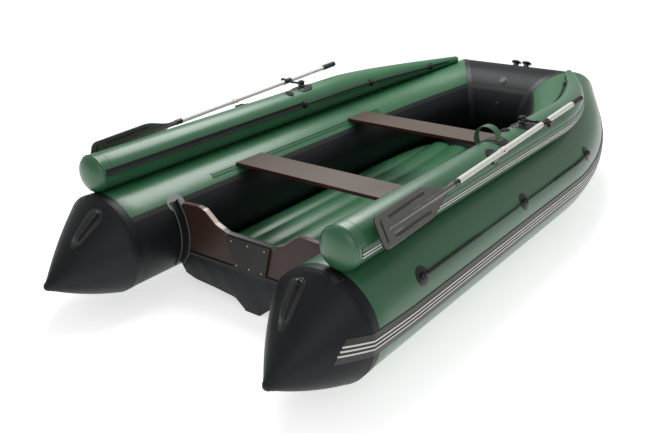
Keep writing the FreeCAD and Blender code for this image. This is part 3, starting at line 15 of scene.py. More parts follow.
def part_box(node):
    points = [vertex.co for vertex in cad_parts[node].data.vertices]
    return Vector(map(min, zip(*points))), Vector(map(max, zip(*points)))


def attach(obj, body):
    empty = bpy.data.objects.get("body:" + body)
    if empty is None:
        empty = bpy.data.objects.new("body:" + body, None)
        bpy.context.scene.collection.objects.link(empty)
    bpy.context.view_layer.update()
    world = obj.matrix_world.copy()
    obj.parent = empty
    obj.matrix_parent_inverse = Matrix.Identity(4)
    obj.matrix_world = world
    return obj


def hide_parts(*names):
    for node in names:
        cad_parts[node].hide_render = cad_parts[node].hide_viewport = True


log = logging.getLogger("boat")

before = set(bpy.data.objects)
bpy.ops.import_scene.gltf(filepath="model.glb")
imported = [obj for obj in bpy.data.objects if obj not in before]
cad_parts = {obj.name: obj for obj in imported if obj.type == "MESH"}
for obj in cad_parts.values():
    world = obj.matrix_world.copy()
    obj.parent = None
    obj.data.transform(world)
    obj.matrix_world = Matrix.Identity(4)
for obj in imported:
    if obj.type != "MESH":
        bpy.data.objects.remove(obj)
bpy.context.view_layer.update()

Piece = bpy.types.Object
Face = bpy.types.MeshPolygon
Socket = bpy.types.NodeSocket
Sockets = bpy.types.NodeOutputs
Group = bpy.types.NodeTree
Shape = Sequence[tuple[float, float]]
Colour = tuple[float, float, float, float]
Place = Callable[[float, float], Vector]
Swept = Callable[[float, float, float], Vector]
Chart = Callable[[float, float], tuple[float, float]]
FaceTest = Callable[[Face], bool]

TAU = 2.0 * pi
GLUE = 0.0003


class Side(Enum):
    """The two sides of the boat, with the sign of their distance to the middle line."""

    STARBOARD = 1.0
    PORT = -1.0

    @property
    def tag(self) -> str:
        """Name of the side as the nodes write it."""
        return self.name.lower()


def span(first: float, last: float, count: int) -> list[float]:
    """Evenly spaced values.

    Args:
        first: First value.
        last: Last value.
        count: How many steps lie between them.

    Returns:
        count + 1 values.
    """
    return [first + (last - first) * index / count for index in range(count + 1)]


def chain(*parts: tuple[float, float, int]) -> list[float]:
    """Evenly spaced values in parts that follow one another."""
    return [value for part in parts for value in span(*part)[:-1]] + [parts[-1][1]]


def mm(*values: float) -> Shape:
    """Outline from pairs of millimetres, in metres."""
    return tuple((first / 1000.0, second / 1000.0) for first, second in zip(values[::2], values[1::2]))


def mirror(right: Shape) -> Shape:
    """Outline from its right half, with the same points to the left in turn."""
    return (*right, *((-across, lift) for across, lift in reversed(right) if across))


def beside(points: Sequence) -> list[tuple]:
    """The points before and after each point, where an end stands for its missing neighbour."""
    return list(zip([points[0], *points[:-1]], [*points[1:], points[-1]]))


# ---- surfaces


@dataclass(frozen=True)
class Course:
    """Axis of the starboard tube: stern cone, straight run, leaning bend and tail to the mitre."""

    radius: float = 0.240
    gauge: float = 0.6425
    start: float = -1.46039
    height: float = 0.300
    straight: float = 1.936
    bend_radius: float = 1.875
    turn: float = radians(30.0)
    lean: float = radians(22.3)
    tail: float = 0.150
    cone_long: float = 0.310
    cone_tip: float = 0.020
    cone_droop: float = 0.086
    cone_fall: float = -0.544023
    cone_round: float = -0.53437

    @property
    def bend_end(self) -> float:
        """Way along the axis at which the bend ends."""
        return self.straight + self.turn * self.bend_radius

    def section(self, way: float) -> tuple[Vector, Vector, Vector, Vector]:
        """Cross-section of the starboard tube.

        Args:
            way: Distance along the axis from the cone's seam.

        Returns:
            Its centre and its leaning outward, upward and forward directions.
        """
        out = Vector((cos(self.lean), 0.0, -sin(self.lean)))
        up = Vector((sin(self.lean), 0.0, cos(self.lean)))
        ahead = Vector((0.0, 1.0, 0.0))
        base = Vector((self.gauge, self.start, self.height))
        if way <= self.straight:
            drop = self.cone_droop * min(max(-way, 0.0), self.cone_long) / self.cone_long
            return base + ahead * way - Vector((0.0, 0.0, drop)), out, up, ahead
        turn = min((way - self.straight) / self.bend_radius, self.turn)
        extra = way - self.straight - turn * self.bend_radius
        turned_out = out * cos(turn) + ahead * sin(turn)
        turned_ahead = ahead * cos(turn) - out * sin(turn)
        centre = base + ahead * (self.straight + self.bend_radius * sin(turn))
        centre += out * self.bend_radius * (cos(turn) - 1.0) + turned_ahead * extra
        return centre, turned_out, up, turned_ahead

    def ray(self, way: float, angle: float, reach: float = 1.0) -> Vector:
        """Step away from the axis, at an angle in degrees from straight outboard."""
        _, out, up, _ = self.section(way)
        turned = radians(angle) + self.lean
        return (out * cos(turned) + up * sin(turned)) * reach

    def thick(self, way: float) -> float:
        """Radius of the tube or of its stern cone.

        Args:
            way: Distance along the axis from the cone's seam.

        Returns:
            The radius there.
        """
        back = -way
        if back <= 0.0:
            return self.radius
        if back <= self.cone_long:
            return self.radius + self.cone_fall * back + self.cone_round * back * back
        return sqrt(max(self.cone_tip ** 2 - (back - self.cone_long) ** 2, 0.0))

    def mitre(self) -> tuple[Vector, Vector]:
        """Point and forward normal of the starboard mitre plane."""
        centre, _, _, ahead = self.section(self.bend_end + self.tail)
        return centre, (ahead + Vector((-1.0, 0.0, 0.0))).normalized()

    def arc(self, across: float) -> float:
        """Angle in degrees that a distance round the tube stands for."""
        return degrees(across / self.radius)


COURSE = Course(start=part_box("side_tube_starboard")[0].y)


def row(x: float, station: float, height: float) -> Vector:
    """Place from a station ahead of the cone's seam and a height over the tubes' underside."""
    return Vector((x, COURSE.start + station, COURSE.height - COURSE.radius + height))


@dataclass
class Skin:
    """A surface that pieces are laid on, by the way along it, the angle round it and the lift off it."""

    side: Side

    def point(self, way: float, angle: float, lift: float = 0.0) -> Vector:
        """Point over the surface, in the boat's frame."""
        raise NotImplementedError

    def girth(self, way: float) -> float:
        """Radius of the surface at a way."""
        return COURSE.radius

    def mirrored(self, spot: Vector) -> Vector:
        """Starboard point, carried to the skin's side."""
        return Vector((spot.x * self.side.value, spot.y, spot.z))

    def stand(self, way: float, angle: float, lift: float = 0.0) -> Matrix:
        """Frame of a rigid piece on the surface.

        Args:
            way: Distance along the surface.
            angle: Angle round it, in degrees.
            lift: Distance off it.

        Returns:
            Matrix with the directions along, round and out of the surface.
        """
        step = 0.002
        along = (self.point(way + step, angle) - self.point(way - step, angle)).normalized()
        out = (self.point(way, angle, 0.01) - self.point(way, angle)).normalized()
        out = (out - along * out.dot(along)).normalized()
        turned = Matrix((along, out.cross(along), out)).transposed().to_4x4()
        turned.translation = self.point(way, angle, lift)
        return turned

    def bend(self, obj: Piece, way: float, angle: float) -> None:
        """Wrap a flat piece onto the surface.

        Args:
            obj: Piece modelled flat: x along, y round, z out of the surface.
            way: Distance along the surface of the piece's middle.
            angle: Its angle, in degrees.
        """
        round_one = self.side.value / self.girth(way)
        for vertex in obj.data.vertices:
            x, y, z = vertex.co
            vertex.co = self.point(way + x, angle + degrees(y * round_one), z)


class TubeSkin(Skin):
    """Side tube with its stern cone."""

    def girth(self, way: float) -> float:
        """Radius of the tube or cone at a way."""
        return COURSE.thick(way)

    def point(self, way: float, angle: float, lift: float = 0.0) -> Vector:
        """Point over the tube, for an angle in degrees from straight outboard."""
        reach = COURSE.thick(way) + lift
        return self.mirrored(COURSE.section(way)[0] + COURSE.ray(way, angle, reach))

    def run(self, way: float, angle: float, lift: float = 0.0) -> Vector:
        """Point over the tube, where a metre past the bend's end stands for the tail up to the mitre.

        Args:
            way: Distance along the axis, or the bend's end and a share of the tail.
            angle: Angle from straight outboard, in degrees.
            lift: Distance off the tube.

        Returns:
            The point.
        """
        if way <= COURSE.bend_end:
            return self.point(way, angle, lift)
        middle, normal = COURSE.mitre()
        ahead = COURSE.section(COURSE.bend_end)[3]
        spot = self.mirrored(self.point(COURSE.bend_end, angle, lift))
        tail = normal.dot(middle - spot) / normal.dot(ahead)
        return self.point(COURSE.bend_end + tail * (way - COURSE.bend_end), angle, lift)


@dataclass(frozen=True)
class FenderShape:
    """Tube that lies on top of a side tube and tapers towards the bow."""

    radius: float = 0.090
    angle: float = 79.6
    start: float = 0.0475
    cap: float = 0.040
    tip: float = 0.022
    tail_share: float = 0.8
    power: float = 1.5

    @property
    def taper(self) -> float:
        """Length of the tapered end."""
        return COURSE.turn * COURSE.bend_radius + COURSE.tail * self.tail_share

    def way(self, share: float) -> float:
        """Way at a share of the tapered end."""
        return COURSE.straight + self.taper * share

    def thick(self, way: float) -> float:
        """Radius of the fender at a way along the side tube."""
        share = min(max((way - COURSE.straight) / self.taper, 0.0), 1.0)
        return self.radius - (self.radius - self.tip) * share ** self.power


FENDER = FenderShape()


class FenderSkin(Skin):
    """Fender tube on top of a side tube."""

    def girth(self, way: float) -> float:
        """Radius of the fender at a way along the side tube."""
        return FENDER.thick(way)

    def axis(self, way: float) -> Vector:
        """Point of the fender's axis on the starboard side."""
        reach = COURSE.radius + FENDER.thick(way) + GLUE
        return COURSE.section(way)[0] + COURSE.ray(way, FENDER.angle, reach)

    def point(self, way: float, angle: float, lift: float = 0.0) -> Vector:
        """Point over the fender, for an angle in degrees from straight outboard."""
        return self.mirrored(self.axis(way) + COURSE.ray(way, angle, FENDER.thick(way) + lift))


class FrontSkin(Skin):
    """Front tube across the bow, with its way counted from the middle line to starboard."""

    def point(self, way: float, angle: float, lift: float = 0.0) -> Vector:
        """Point over the front tube, for an angle in degrees from straight ahead."""
        middle = COURSE.mitre()[0]
        turned = radians(angle)
        reach = COURSE.radius + lift
        return Vector((way, middle.y + reach * cos(turned), middle.z + reach * sin(turned)))

    def mitre_way(self, angle: float, lift: float = 0.0) -> float:
        """Distance from the middle line to the mitre, for either side."""
        middle, normal = COURSE.mitre()
        return middle.x - normal.dot(self.point(middle.x, angle, lift) - middle) / normal.x

    def run(self, share: float, angle: float, lift: float = 0.0) -> Vector:
        """Point at a share of the way from the middle line to the mitre."""
        return self.point(self.mitre_way(angle, lift) * share, angle, lift)

    def clock(self, angle: float) -> float:
        """Angle round the front tube that meets an angle of the side tubes at the mitre.

        Args:
            angle: Angle from straight outboard, in degrees.

        Returns:
            Angle from straight ahead, in degrees.
        """
        spoke = COURSE.ray(COURSE.bend_end, angle)
        normal = COURSE.mitre()[1]
        turned = spoke - normal * (2.0 * spoke.dot(normal))
        return degrees(atan2(turned.z, turned.y))


FRONT = FrontSkin(Side.STARBOARD)


# ---- bench


class Bench:
    """Hand tools: primitives, edit operators and modifiers on one piece at a time."""

    @staticmethod
    def only(obj: Piece) -> None:
        """Select one object and nothing else."""
        bpy.ops.object.select_all(action="DESELECT")
        obj.select_set(True)
        bpy.context.view_layer.objects.active = obj

    @staticmethod
    def start(name: str, add: Callable[..., object], **settings: object) -> Piece:
        """Add a primitive, with nothing else selected.

        Args:
            name: Its name.
            add: Operator that adds it.
            settings: Settings of the operator.

        Returns:
            The primitive.
        """
        bpy.ops.object.select_all(action="DESELECT")
        add(**settings)
        return Bench.named(name)

    @staticmethod
    def named(name: str) -> Piece:
        """Name the object that is active."""
        obj = bpy.context.active_object
        obj.name = obj.data.name = name
        return obj

    @staticmethod
    def edit(obj: Piece, *steps: Callable[[], object]) -> None:
        """Run edit mode operators on everything in a piece.

        Args:
            obj: The piece.
            steps: Calls to run, in order, with everything selected at first.
        """
        Bench.only(obj)
        bpy.ops.object.mode_set(mode="EDIT")
        bpy.ops.mesh.select_all(action="SELECT")
        for step in steps:
            step()
        bpy.ops.object.mode_set(mode="OBJECT")

    @staticmethod
    def modify(obj: Piece, kind: str, **settings: object) -> None:
        """Add a modifier and apply it.

        Args:
            obj: The piece.
            kind: Modifier's type.
            settings: Its settings.
        """
        Bench.only(obj)
        modifier = obj.modifiers.new(kind.title(), kind)
        for key, value in settings.items():
            setattr(modifier, key, value)
        bpy.ops.object.modifier_apply(modifier=modifier.name)

    @staticmethod
    def bevel(obj: Piece, width: float, segments: int, angle: float = 40.0) -> None:
        """Round the edges of a piece that are sharper than an angle."""
        Bench.modify(obj, "BEVEL", width=width, segments=segments, limit_method="ANGLE",
                     angle_limit=radians(angle))

    @staticmethod
    def smooth(obj: Piece, angle: float) -> None:
        """Shade a piece smooth except at its sharp edges."""
        Bench.only(obj)
        bpy.ops.object.shade_smooth_by_angle(angle=radians(angle))

    @staticmethod
    def outward() -> None:
        """Point the selected faces outwards."""
        bpy.ops.mesh.normals_make_consistent(inside=False)

    @staticmethod
    def net(name: str, ways: Sequence[float], turns: Sequence[float], place: Place,
            chart: Optional[Chart] = None, closed: bool = True) -> Piece:
        """A grid whose lines are carried to their places on a surface.

        Args:
            name: Piece's name.
            ways: Value of each line along the piece.
            turns: Value of each line round it.
            place: Point for a way and a turn.
            chart: UV for a way and a turn, in metres; the values themselves by default.
            closed: True to merge, fill and turn the result into a closed shell.

        Returns:
            The piece.
        """
        columns, rows = len(ways) - 1, len(turns) - 1
        obj = Bench.start(name, bpy.ops.mesh.primitive_grid_add, x_subdivisions=columns,
                          y_subdivisions=rows, size=2.0, calc_uvs=True)
        mesh = obj.data
        cells = [(round((v.co.x + 1.0) / 2.0 * columns), round((v.co.y + 1.0) / 2.0 * rows))
                 for v in mesh.vertices]
        for vertex, (column, turn) in zip(mesh.vertices, cells):
            vertex.co = place(ways[column], turns[turn])
        layer = mesh.uv_layers[0].data
        for loop in mesh.loops:
            column, turn = cells[loop.vertex_index]
            spot = (ways[column], turns[turn])
            layer[loop.index].uv = chart(*spot) if chart else spot
        if closed:
            Bench.edit(obj, lambda: bpy.ops.mesh.remove_doubles(threshold=1e-5),
                       lambda: bpy.ops.mesh.fill_holes(sides=0),
                       lambda: bpy.ops.mesh.select_all(action="SELECT"), Bench.outward)
        return obj

    @staticmethod
    def sweep(name: str, ways: Sequence[float], profile: Shape, place: Swept) -> Piece:
        """A closed profile carried along a surface.

        Args:
            name: Piece's name.
            ways: Stations of the sweep.
            profile: Closed outline as distances across and lifts.
            place: Point for a way, a distance across and a lift.

        Returns:
            The piece, with the way and the distance across as its UV.
        """
        loop = [*profile, profile[0]]
        return Bench.net(name, ways, range(len(loop)), lambda way, index: place(way, *loop[index]),
                         lambda way, index: (way, loop[index][0]))

    @staticmethod
    def turned(name: str, profile: Shape, steps: int = 40) -> Piece:
        """A disc raised and narrowed or widened step by step, as on a lathe.

        Args:
            name: Piece's name.
            profile: Radius and height of each step.
            steps: Corners of the disc.

        Returns:
            The piece, upright on the origin.
        """
        obj = Bench.start(name, bpy.ops.mesh.primitive_circle_add, vertices=steps,
                          radius=profile[0][0], fill_type="NGON")
        Bench.only(obj)
        bpy.ops.object.mode_set(mode="EDIT")
        bpy.ops.mesh.select_mode(type="FACE")
        bpy.ops.mesh.select_all(action="SELECT")
        for (radius, height), (next_radius, next_height) in zip(profile, profile[1:]):
            rise = (0.0, 0.0, next_height - height)
            bpy.ops.mesh.extrude_region_move(TRANSFORM_OT_translate={"value": rise})
            share = next_radius / radius
            bpy.ops.transform.resize(value=(share, share, 1.0))
        bpy.ops.mesh.select_all(action="SELECT")
        Bench.outward()
        bpy.ops.mesh.select_mode(type="VERT")
        bpy.ops.object.mode_set(mode="OBJECT")
        Bench.move(obj, Matrix.Translation((0.0, 0.0, profile[0][1])))
        Bench.smooth(obj, 40.0)
        return obj

    @staticmethod
    def lobed(obj: Piece, lobes: int, depth: float, low: float, high: float) -> None:
        """Press grip lobes into the side of a turned piece.

        Args:
            obj: The piece, upright on the origin.
            lobes: How many.
            depth: Their share of the radius.
            low: Radius from which on they are pressed.
            high: Height from which on they are pressed.
        """
        for vertex in obj.data.vertices:
            x, y, z = vertex.co
            if hypot(x, y) > low and z > high:
                share = 1.0 - depth * max(cos(lobes * atan2(y, x)), 0.0)
                vertex.co = (x * share, y * share, z)

    @staticmethod
    def lengthen(obj: Piece, half: float) -> None:
        """Draw a round piece out along x by a half length each way."""
        for vertex in obj.data.vertices:
            if abs(vertex.co.x) > 1e-6:
                vertex.co.x += copysign(half, vertex.co.x)

    @staticmethod
    def block(name: str, size: Sequence[float], bevel: float) -> Piece:
        """A block with bevelled edges, centred on the origin.

        Args:
            name: Piece's name.
            size: Its length, width and height.
            bevel: Width of the bevel.

        Returns:
            The piece.
        """
        obj = Bench.start(name, bpy.ops.mesh.primitive_cube_add, size=1.0)
        Bench.edit(obj, lambda: bpy.ops.transform.resize(value=tuple(size)),
                   lambda: bpy.ops.mesh.bevel(offset=bevel, segments=2, affect="EDGES"))
        Bench.smooth(obj, 50.0)
        return obj

    @staticmethod
    def band(width: float, thick: float, steps: int = 6, inset: float = 0.003) -> Shape:
        """Outline of a glued band, as distances across from its middle and lifts."""
        edge, low, slant = width / 2.0, -0.0002, 0.0008
        top = [(across, thick) for across in span(edge - inset, inset - edge, steps)]
        return ((-edge, low), (edge, low), (edge - slant, thick), *top, (slant - edge, thick))

    @staticmethod
    def hoop(name: str, skin: Skin, way: float, profile: Shape, steps: int = 96) -> Piece:
        """A band all the way round a skin.

        Args:
            name: Piece's name.
            skin: Surface that it lies on.
            way: Way that its distances across are counted from.
            profile: Its outline.
            steps: Steps round the surface.

        Returns:
            The piece.
        """
        return Bench.sweep(name, span(0.0, 360.0, steps), profile,
                           lambda angle, across, lift: skin.point(way + across, angle, lift))

    @staticmethod
    def rope(frames: Sequence[Matrix], radius: float, lobes: int, pitch: float) -> Piece:
        """A line along frames, with strands that twist round it.

        Args:
            frames: Frames along the line, each looking along its first axis.
            radius: Its outer radius.
            lobes: How many strands show round it.
            pitch: Length of one turn of the strands.

        Returns:
            The piece.
        """
        ways = [0.0]
        for first, second in zip(frames, frames[1:]):
            ways.append(ways[-1] + (second.translation - first.translation).length)

        def place(index: int, turn: float) -> Vector:
            """Point of the twisted surface."""
            reach = radius * (0.82 + 0.18 * cos(lobes * (turn - TAU * ways[index] / pitch)))
            return frames[index] @ Vector((0.0, reach * cos(turn), reach * sin(turn)))

        obj = Bench.net("line", range(len(frames)), span(0.0, TAU, 6 * lobes), place,
                        lambda index, turn: (ways[index], turn * radius))
        Bench.smooth(obj, 60.0)
        return obj

    @staticmethod
    def move(obj: Piece, matrix: Matrix) -> Piece:
        """Carry a piece's mesh to its place, with its object left at the origin."""
        obj.data.transform(matrix)
        obj.data.update()
        return obj

    @staticmethod
    def join(name: str, pieces: Sequence[Piece]) -> Piece:
        """Join pieces into the first one.

        Args:
            name: Name of the result.
            pieces: What to join.

        Returns:
            The joined piece.
        """
        Bench.only(pieces[0])
        for piece in pieces:
            piece.select_set(True)
        if len(pieces) > 1:
            bpy.ops.object.join()
        return Bench.named(name)

    @staticmethod
    def cast(node: str, name: str) -> Piece:
        """Merged and smoothly shaded copy of a CAD node's mesh.

        Args:
            node: CAD node.
            name: Name of the copy.

        Returns:
            The copy.
        """
        copy = bpy.data.objects.new(name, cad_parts[node].data.copy())
        bpy.context.scene.collection.objects.link(copy)
        copy.data.materials.clear()
        Bench.edit(copy, lambda: bpy.ops.mesh.remove_doubles(threshold=2e-5))
        Bench.smooth(copy, 30.0)
        return copy


# ---- materials


class Pattern(Enum):
    """Fine relief of a finish."""

    WEAVE = "weave"
    TREAD = "tread"
    GRAIN = "grain"


@dataclass
class Tree:
    """Short calls for building a node tree."""

    tree: Group

    def feed(self, socket: Socket, value: object) -> None:
        """Give a socket a link or a plain value.

        Args:
            socket: Input of a node.
            value: Output socket to link to it, or its value.
        """
        if isinstance(value, Socket):
            self.tree.links.new(value, socket)
        else:
            socket.default_value = value

    def add(self, kind: str, inputs: Optional[dict] = None, **settings: object) -> bpy.types.Node:
        """Add a node.

        Args:
            kind: Node's type.
            inputs: Sockets or values for its inputs.
            settings: Its properties.

        Returns:
            The node.
        """
        node = self.tree.nodes.new(kind)
        for key, value in settings.items():
            setattr(node, key, value)
        for key, value in (inputs or {}).items():
            self.feed(node.inputs[key], value)
        return node

    def maths(self, operation: str, *values: object) -> Socket:
        """Result of a sum on sockets or numbers."""
        return self.add("ShaderNodeMath", dict(enumerate(values)), operation=operation).outputs[0]

    def mix(self, share: object, first: object, second: object) -> Socket:
        """Colour between two, at a share of the second."""
        return self.add("ShaderNodeMix", {0: share, 6: first, 7: second}, data_type="RGBA").outputs[2]

    def wave(self, vector: object, scale: object, direction: str) -> Socket:
        """Ridges across a direction."""
        return self.add("ShaderNodeTexWave", {"Vector": vector, "Scale": scale},
                        wave_type="BANDS", bands_direction=direction).outputs["Fac"]

    def group(self, group: Group, **values: object) -> Sockets:
        """Outputs of a shared group, placed with these values."""
        return self.add("ShaderNodeGroup", values, node_tree=group).outputs


Fill = Callable[[Tree, Sockets], Sequence[Socket]]
RELIEF_SOCKETS = (("Vector", "Vector", None), ("Scale", "Float", 60.0))


class Groups:
    """Shader node groups that several materials use."""

    @staticmethod
    def make(name: str, inputs: Sequence[tuple[str, str, object]], outputs: Sequence[tuple[str, str]],
             fill: Fill) -> Group:
        """Find a group, or build it.

        Args:
            name: Group's name.
            inputs: Name, kind and default value of each input.
            outputs: Name and kind of each output.
            fill: Builds its nodes from its inputs, and gives the sockets of its outputs.

        Returns:
            The group.
        """
        found = bpy.data.node_groups.get(name)
        if found:
            return found
        group = bpy.data.node_groups.new(name, "ShaderNodeTree")
        for label, kind, value in inputs:
            socket = group.interface.new_socket(name=label, in_out="INPUT",
                                                socket_type=f"NodeSocket{kind}")
            if value is not None:
                socket.default_value = value
        for label, kind in outputs:
            group.interface.new_socket(name=label, in_out="OUTPUT", socket_type=f"NodeSocket{kind}")
        tree = Tree(group)
        results = fill(tree, tree.add("NodeGroupInput").outputs)
        tree.add("NodeGroupOutput", {label: result for (label, _), result in zip(outputs, results)})
        return group

    @staticmethod
    def relief(name: str, fill: Fill) -> Group:
        """Group that puts out a height for a place and a scale."""
        return Groups.make(name, RELIEF_SOCKETS, (("Height", "Float"),), fill)

    @staticmethod
    def weave() -> Group:
        """Fine threads of a coated cloth, as a height."""
        return Groups.relief("coated_weave", lambda tree, given: [tree.maths(
            "MULTIPLY", *(tree.wave(given["Vector"], given["Scale"], way) for way in "XY"))])

    @staticmethod
    def tread() -> Group:
        """Slanting wire mesh pressed into a film, as a height.

        Returns:
            The group.
        """
        def slanted(tree: Tree, vector: Socket, turn: float) -> Socket:
            """Place, turned about the axis along the boat."""
            turned = {"Vector": vector, "Rotation": (0.0, radians(turn), 0.0)}
            return tree.add("ShaderNodeMapping", turned).outputs["Vector"]

        return Groups.relief("pressed_mesh", lambda tree, given: [tree.maths("MAXIMUM", *(
            tree.wave(slanted(tree, given["Vector"], turn), given["Scale"], "Z")
            for turn in (35.0, -35.0)))])

    @staticmethod
    def grain() -> Group:
        """Long streaks across the boat, as a height.

        Returns:
            The group.
        """
        def fill(tree: Tree, given: Sockets) -> list[Socket]:
            """Noise that is drawn out along x."""
            drawn = tree.add("ShaderNodeMapping", {"Vector": given["Vector"], "Scale": (0.06, 1.0, 1.0)})
            return [tree.add("ShaderNodeTexNoise", {"Vector": drawn.outputs["Vector"],
                                                    "Scale": given["Scale"], "Detail": 3.0}).outputs["Fac"]]

        return Groups.relief("long_grain", fill)

    @staticmethod
    def mottle() -> Group:
        """Slow change between two colours.

        Returns:
            The group.
        """
        def fill(tree: Tree, given: Sockets) -> list[Socket]:
            """Colour and mask from a broad noise."""
            broad = tree.add("ShaderNodeTexNoise", {"Vector": given["Vector"], "Scale": given["Scale"],
                                                    "Detail": 5.0, "Roughness": 0.62})
            mask = tree.add("ShaderNodeMapRange", {"Value": broad.outputs["Fac"], "From Min": 0.36,
                                                   "From Max": 0.70}).outputs["Result"]
            share = tree.maths("MULTIPLY", mask, given["Amount"])
            return [tree.mix(share, given["Colour"], given["Worn"]), mask]

        return Groups.make("mottle", (
            ("Vector", "Vector", None), ("Colour", "Color", None), ("Worn", "Color", None),
            ("Scale", "Float", 4.0), ("Amount", "Float", 0.5)), (("Colour", "Color"), ("Mask", "Float")), fill)

    @staticmethod
    def band() -> Group:
        """Soft-edged band round a value: 1 inside, 0 outside.

        Returns:
            The group.
        """
        def fill(tree: Tree, given: Sockets) -> list[Socket]:
            """Share of the soft edge at the value's distance from the centre."""
            away = tree.maths("ABSOLUTE", tree.maths("SUBTRACT", given["Value"], given["Centre"]))
            inside = tree.maths("SUBTRACT", given["Half"], away)
            kept = tree.maths("ADD", tree.maths("DIVIDE", inside, given["Edge"]), 0.5)
            kept.node.use_clamp = True
            return [kept]

        return Groups.make("band", (
            ("Value", "Float", 0.0), ("Centre", "Float", 0.0), ("Half", "Float", 0.01),
            ("Edge", "Float", 0.001)), (("Mask", "Float"),), fill)


def tint(*channels: float) -> Colour:
    """Linear colour from the screen's red, green and blue, from 0 to 255.

    Args:
        channels: The three values.

    Returns:
        Linear colour with full alpha.
    """
    shares = [channel / 255.0 for channel in channels]
    return (*(share / 12.92 if share <= 0.04045 else ((share + 0.055) / 1.055) ** 2.4
              for share in shares), 1.0)


@dataclass(frozen=True)
class Stripe:
    """Line of another colour along a piece, placed by the second UV value."""

    centre: float
    half: float
    colour: Colour
    edge: float = 0.0006


@dataclass(frozen=True)
class Finish:
    """Cloth, rubber, film, plastic or metal, with fine relief, mottling and lines along it."""

    name: str
    colour: Colour
    worn: Colour
    roughness: float = 0.42
    weave: float = 0.00006
    weave_scale: float = 260.0
    mottle_scale: float = 3.0
    mottle_amount: float = 0.5
    ripple: float = 0.0
    ripple_scale: float = 5.0
    stripes: tuple[Stripe, ...] = ()
    bump_strength: float = 0.5
    pattern: Pattern = Pattern.WEAVE
    metallic: float = 0.0
    coat: float = 0.0
    coat_roughness: float = 0.3
    specular: float = 0.5
    rough_change: float = 0.08

    def build(self) -> bpy.types.Material:
        """Material with this finish, made once.

        Returns:
            The material.
        """
        found = bpy.data.materials.get(self.name)
        if found:
            return found
        material = bpy.data.materials.new(self.name)
        material.use_nodes = True
        tree = Tree(material.node_tree)
        where = tree.add("ShaderNodeTexCoord").outputs
        spots = tree.group(Groups.mottle(), Vector=where["Object"], Colour=self.colour, Worn=self.worn,
                           Scale=self.mottle_scale, Amount=self.mottle_amount)
        threads = tree.group(getattr(Groups, self.pattern.value)(), Vector=where["Object"],
                             Scale=self.weave_scale)
        broad = tree.add("ShaderNodeTexNoise", {"Vector": where["Object"], "Scale": self.ripple_scale,
                                                "Detail": 2.0}).outputs["Fac"]
        height = tree.maths("MULTIPLY_ADD", broad, self.ripple,
                            tree.maths("MULTIPLY", threads["Height"], self.weave))
        bump = tree.add("ShaderNodeBump", {"Strength": self.bump_strength, "Distance": 1.0, "Height": height})
        least = self.roughness - self.rough_change / 2.0
        for label, value in {
                "Base Color": self.paint(tree, where["UV"], spots["Colour"]),
                "Roughness": tree.maths("MULTIPLY_ADD", spots["Mask"], self.rough_change, least),
                "Metallic": self.metallic,
                "Coat Weight": self.coat,
                "Coat Roughness": self.coat_roughness,
                "Specular IOR Level": self.specular,
                "Normal": bump.outputs["Normal"]}.items():
            tree.feed(material.node_tree.nodes["Principled BSDF"].inputs[label], value)
        return material

    def paint(self, tree: Tree, flat: Socket,
              colour: Socket) -> Socket:
        """Lay the lines over the cloth's colour.

        Args:
            tree: Tree of the material.
            flat: UV of the piece.
            colour: Colour so far.

        Returns:
            Colour with the lines.
        """
        if self.stripes:
            across = tree.add("ShaderNodeSeparateXYZ", {"Vector": flat}).outputs["Y"]
        for stripe in self.stripes:
            mask = tree.group(Groups.band(), Value=across, Centre=stripe.centre, Half=stripe.half,
                              Edge=stripe.edge)
            colour = tree.mix(mask["Mask"], colour, stripe.colour)
        return colour


GREEN = (tint(46, 102, 66), tint(54, 110, 74))
WHITE = tint(238, 238, 230)
CHARCOAL = tint(46, 46, 44)
CLOTH_RIPPLE = 0.0008

GREEN_CLOTH = Finish("green_cloth", *GREEN, roughness=0.36, ripple=CLOTH_RIPPLE, coat=0.55,
                     coat_roughness=0.32)
BLACK_CLOTH = Finish("black_cloth", tint(18, 22, 24), tint(28, 32, 34), roughness=0.46,
                     ripple=CLOTH_RIPPLE, specular=0.28)
TAPE = Finish("black_tape", tint(34, 35, 35), tint(46, 46, 46), roughness=0.4, ripple=0.0002, specular=0.4)
# The six dark green lines lie in the grooves between the floor's ribs: painted shade in those creases.
DECK = replace(GREEN_CLOTH, name="floor_cloth", stripes=tuple(
    Stripe(0.126 * (index - 2.5), 0.0022, tint(20, 46, 32), 0.004) for index in range(6)))
RUBBER = Finish("moulded_rubber", tint(26, 27, 28), tint(38, 39, 40), roughness=0.40, ripple=0.0001,
                weave_scale=900.0, weave=0.00002)
NYLON = Finish("black_nylon", tint(22, 23, 24), tint(34, 35, 36), roughness=0.28, weave_scale=900.0,
               weave=0.00001)
LINE = Finish("braided_line", tint(26, 30, 29), tint(46, 50, 48), roughness=0.7, weave_scale=900.0,
              weave=0.0002, mottle_scale=60.0)
WEBBING = Finish("green_webbing", tint(58, 98, 70), tint(70, 112, 84), roughness=0.6, weave_scale=700.0,
                 weave=0.0002)
THREAD = Finish("pale_thread", tint(176, 190, 178), tint(190, 202, 190), roughness=0.6)
PALE_PATCH = Finish("grey_patch", tint(112, 114, 110), tint(128, 128, 124), roughness=0.3,
                    ripple=CLOTH_RIPPLE, coat=0.4)
PLY = Finish("filmed_plywood", tint(58, 39, 34), tint(70, 49, 43), roughness=0.36, pattern=Pattern.TREAD,
             weave_scale=90.0, weave=0.00012, specular=0.32)
PLY_EDGE = Finish("plywood_edge", tint(64, 22, 18), tint(84, 36, 28), pattern=Pattern.GRAIN, weave=0.0004)
THWART_PLY = Finish("thwart_plywood", tint(86, 72, 63), tint(97, 82, 72), roughness=0.38,
                    pattern=Pattern.GRAIN, weave=0.0002, coat=0.15)
PLATE = Finish("slip_plate", tint(34, 33, 32), tint(43, 42, 40), roughness=0.48, pattern=Pattern.TREAD,
               weave_scale=60.0, weave=0.0006, specular=0.3)
CAPPING = Finish("edge_capping", tint(40, 42, 40), tint(52, 54, 51), roughness=0.36)
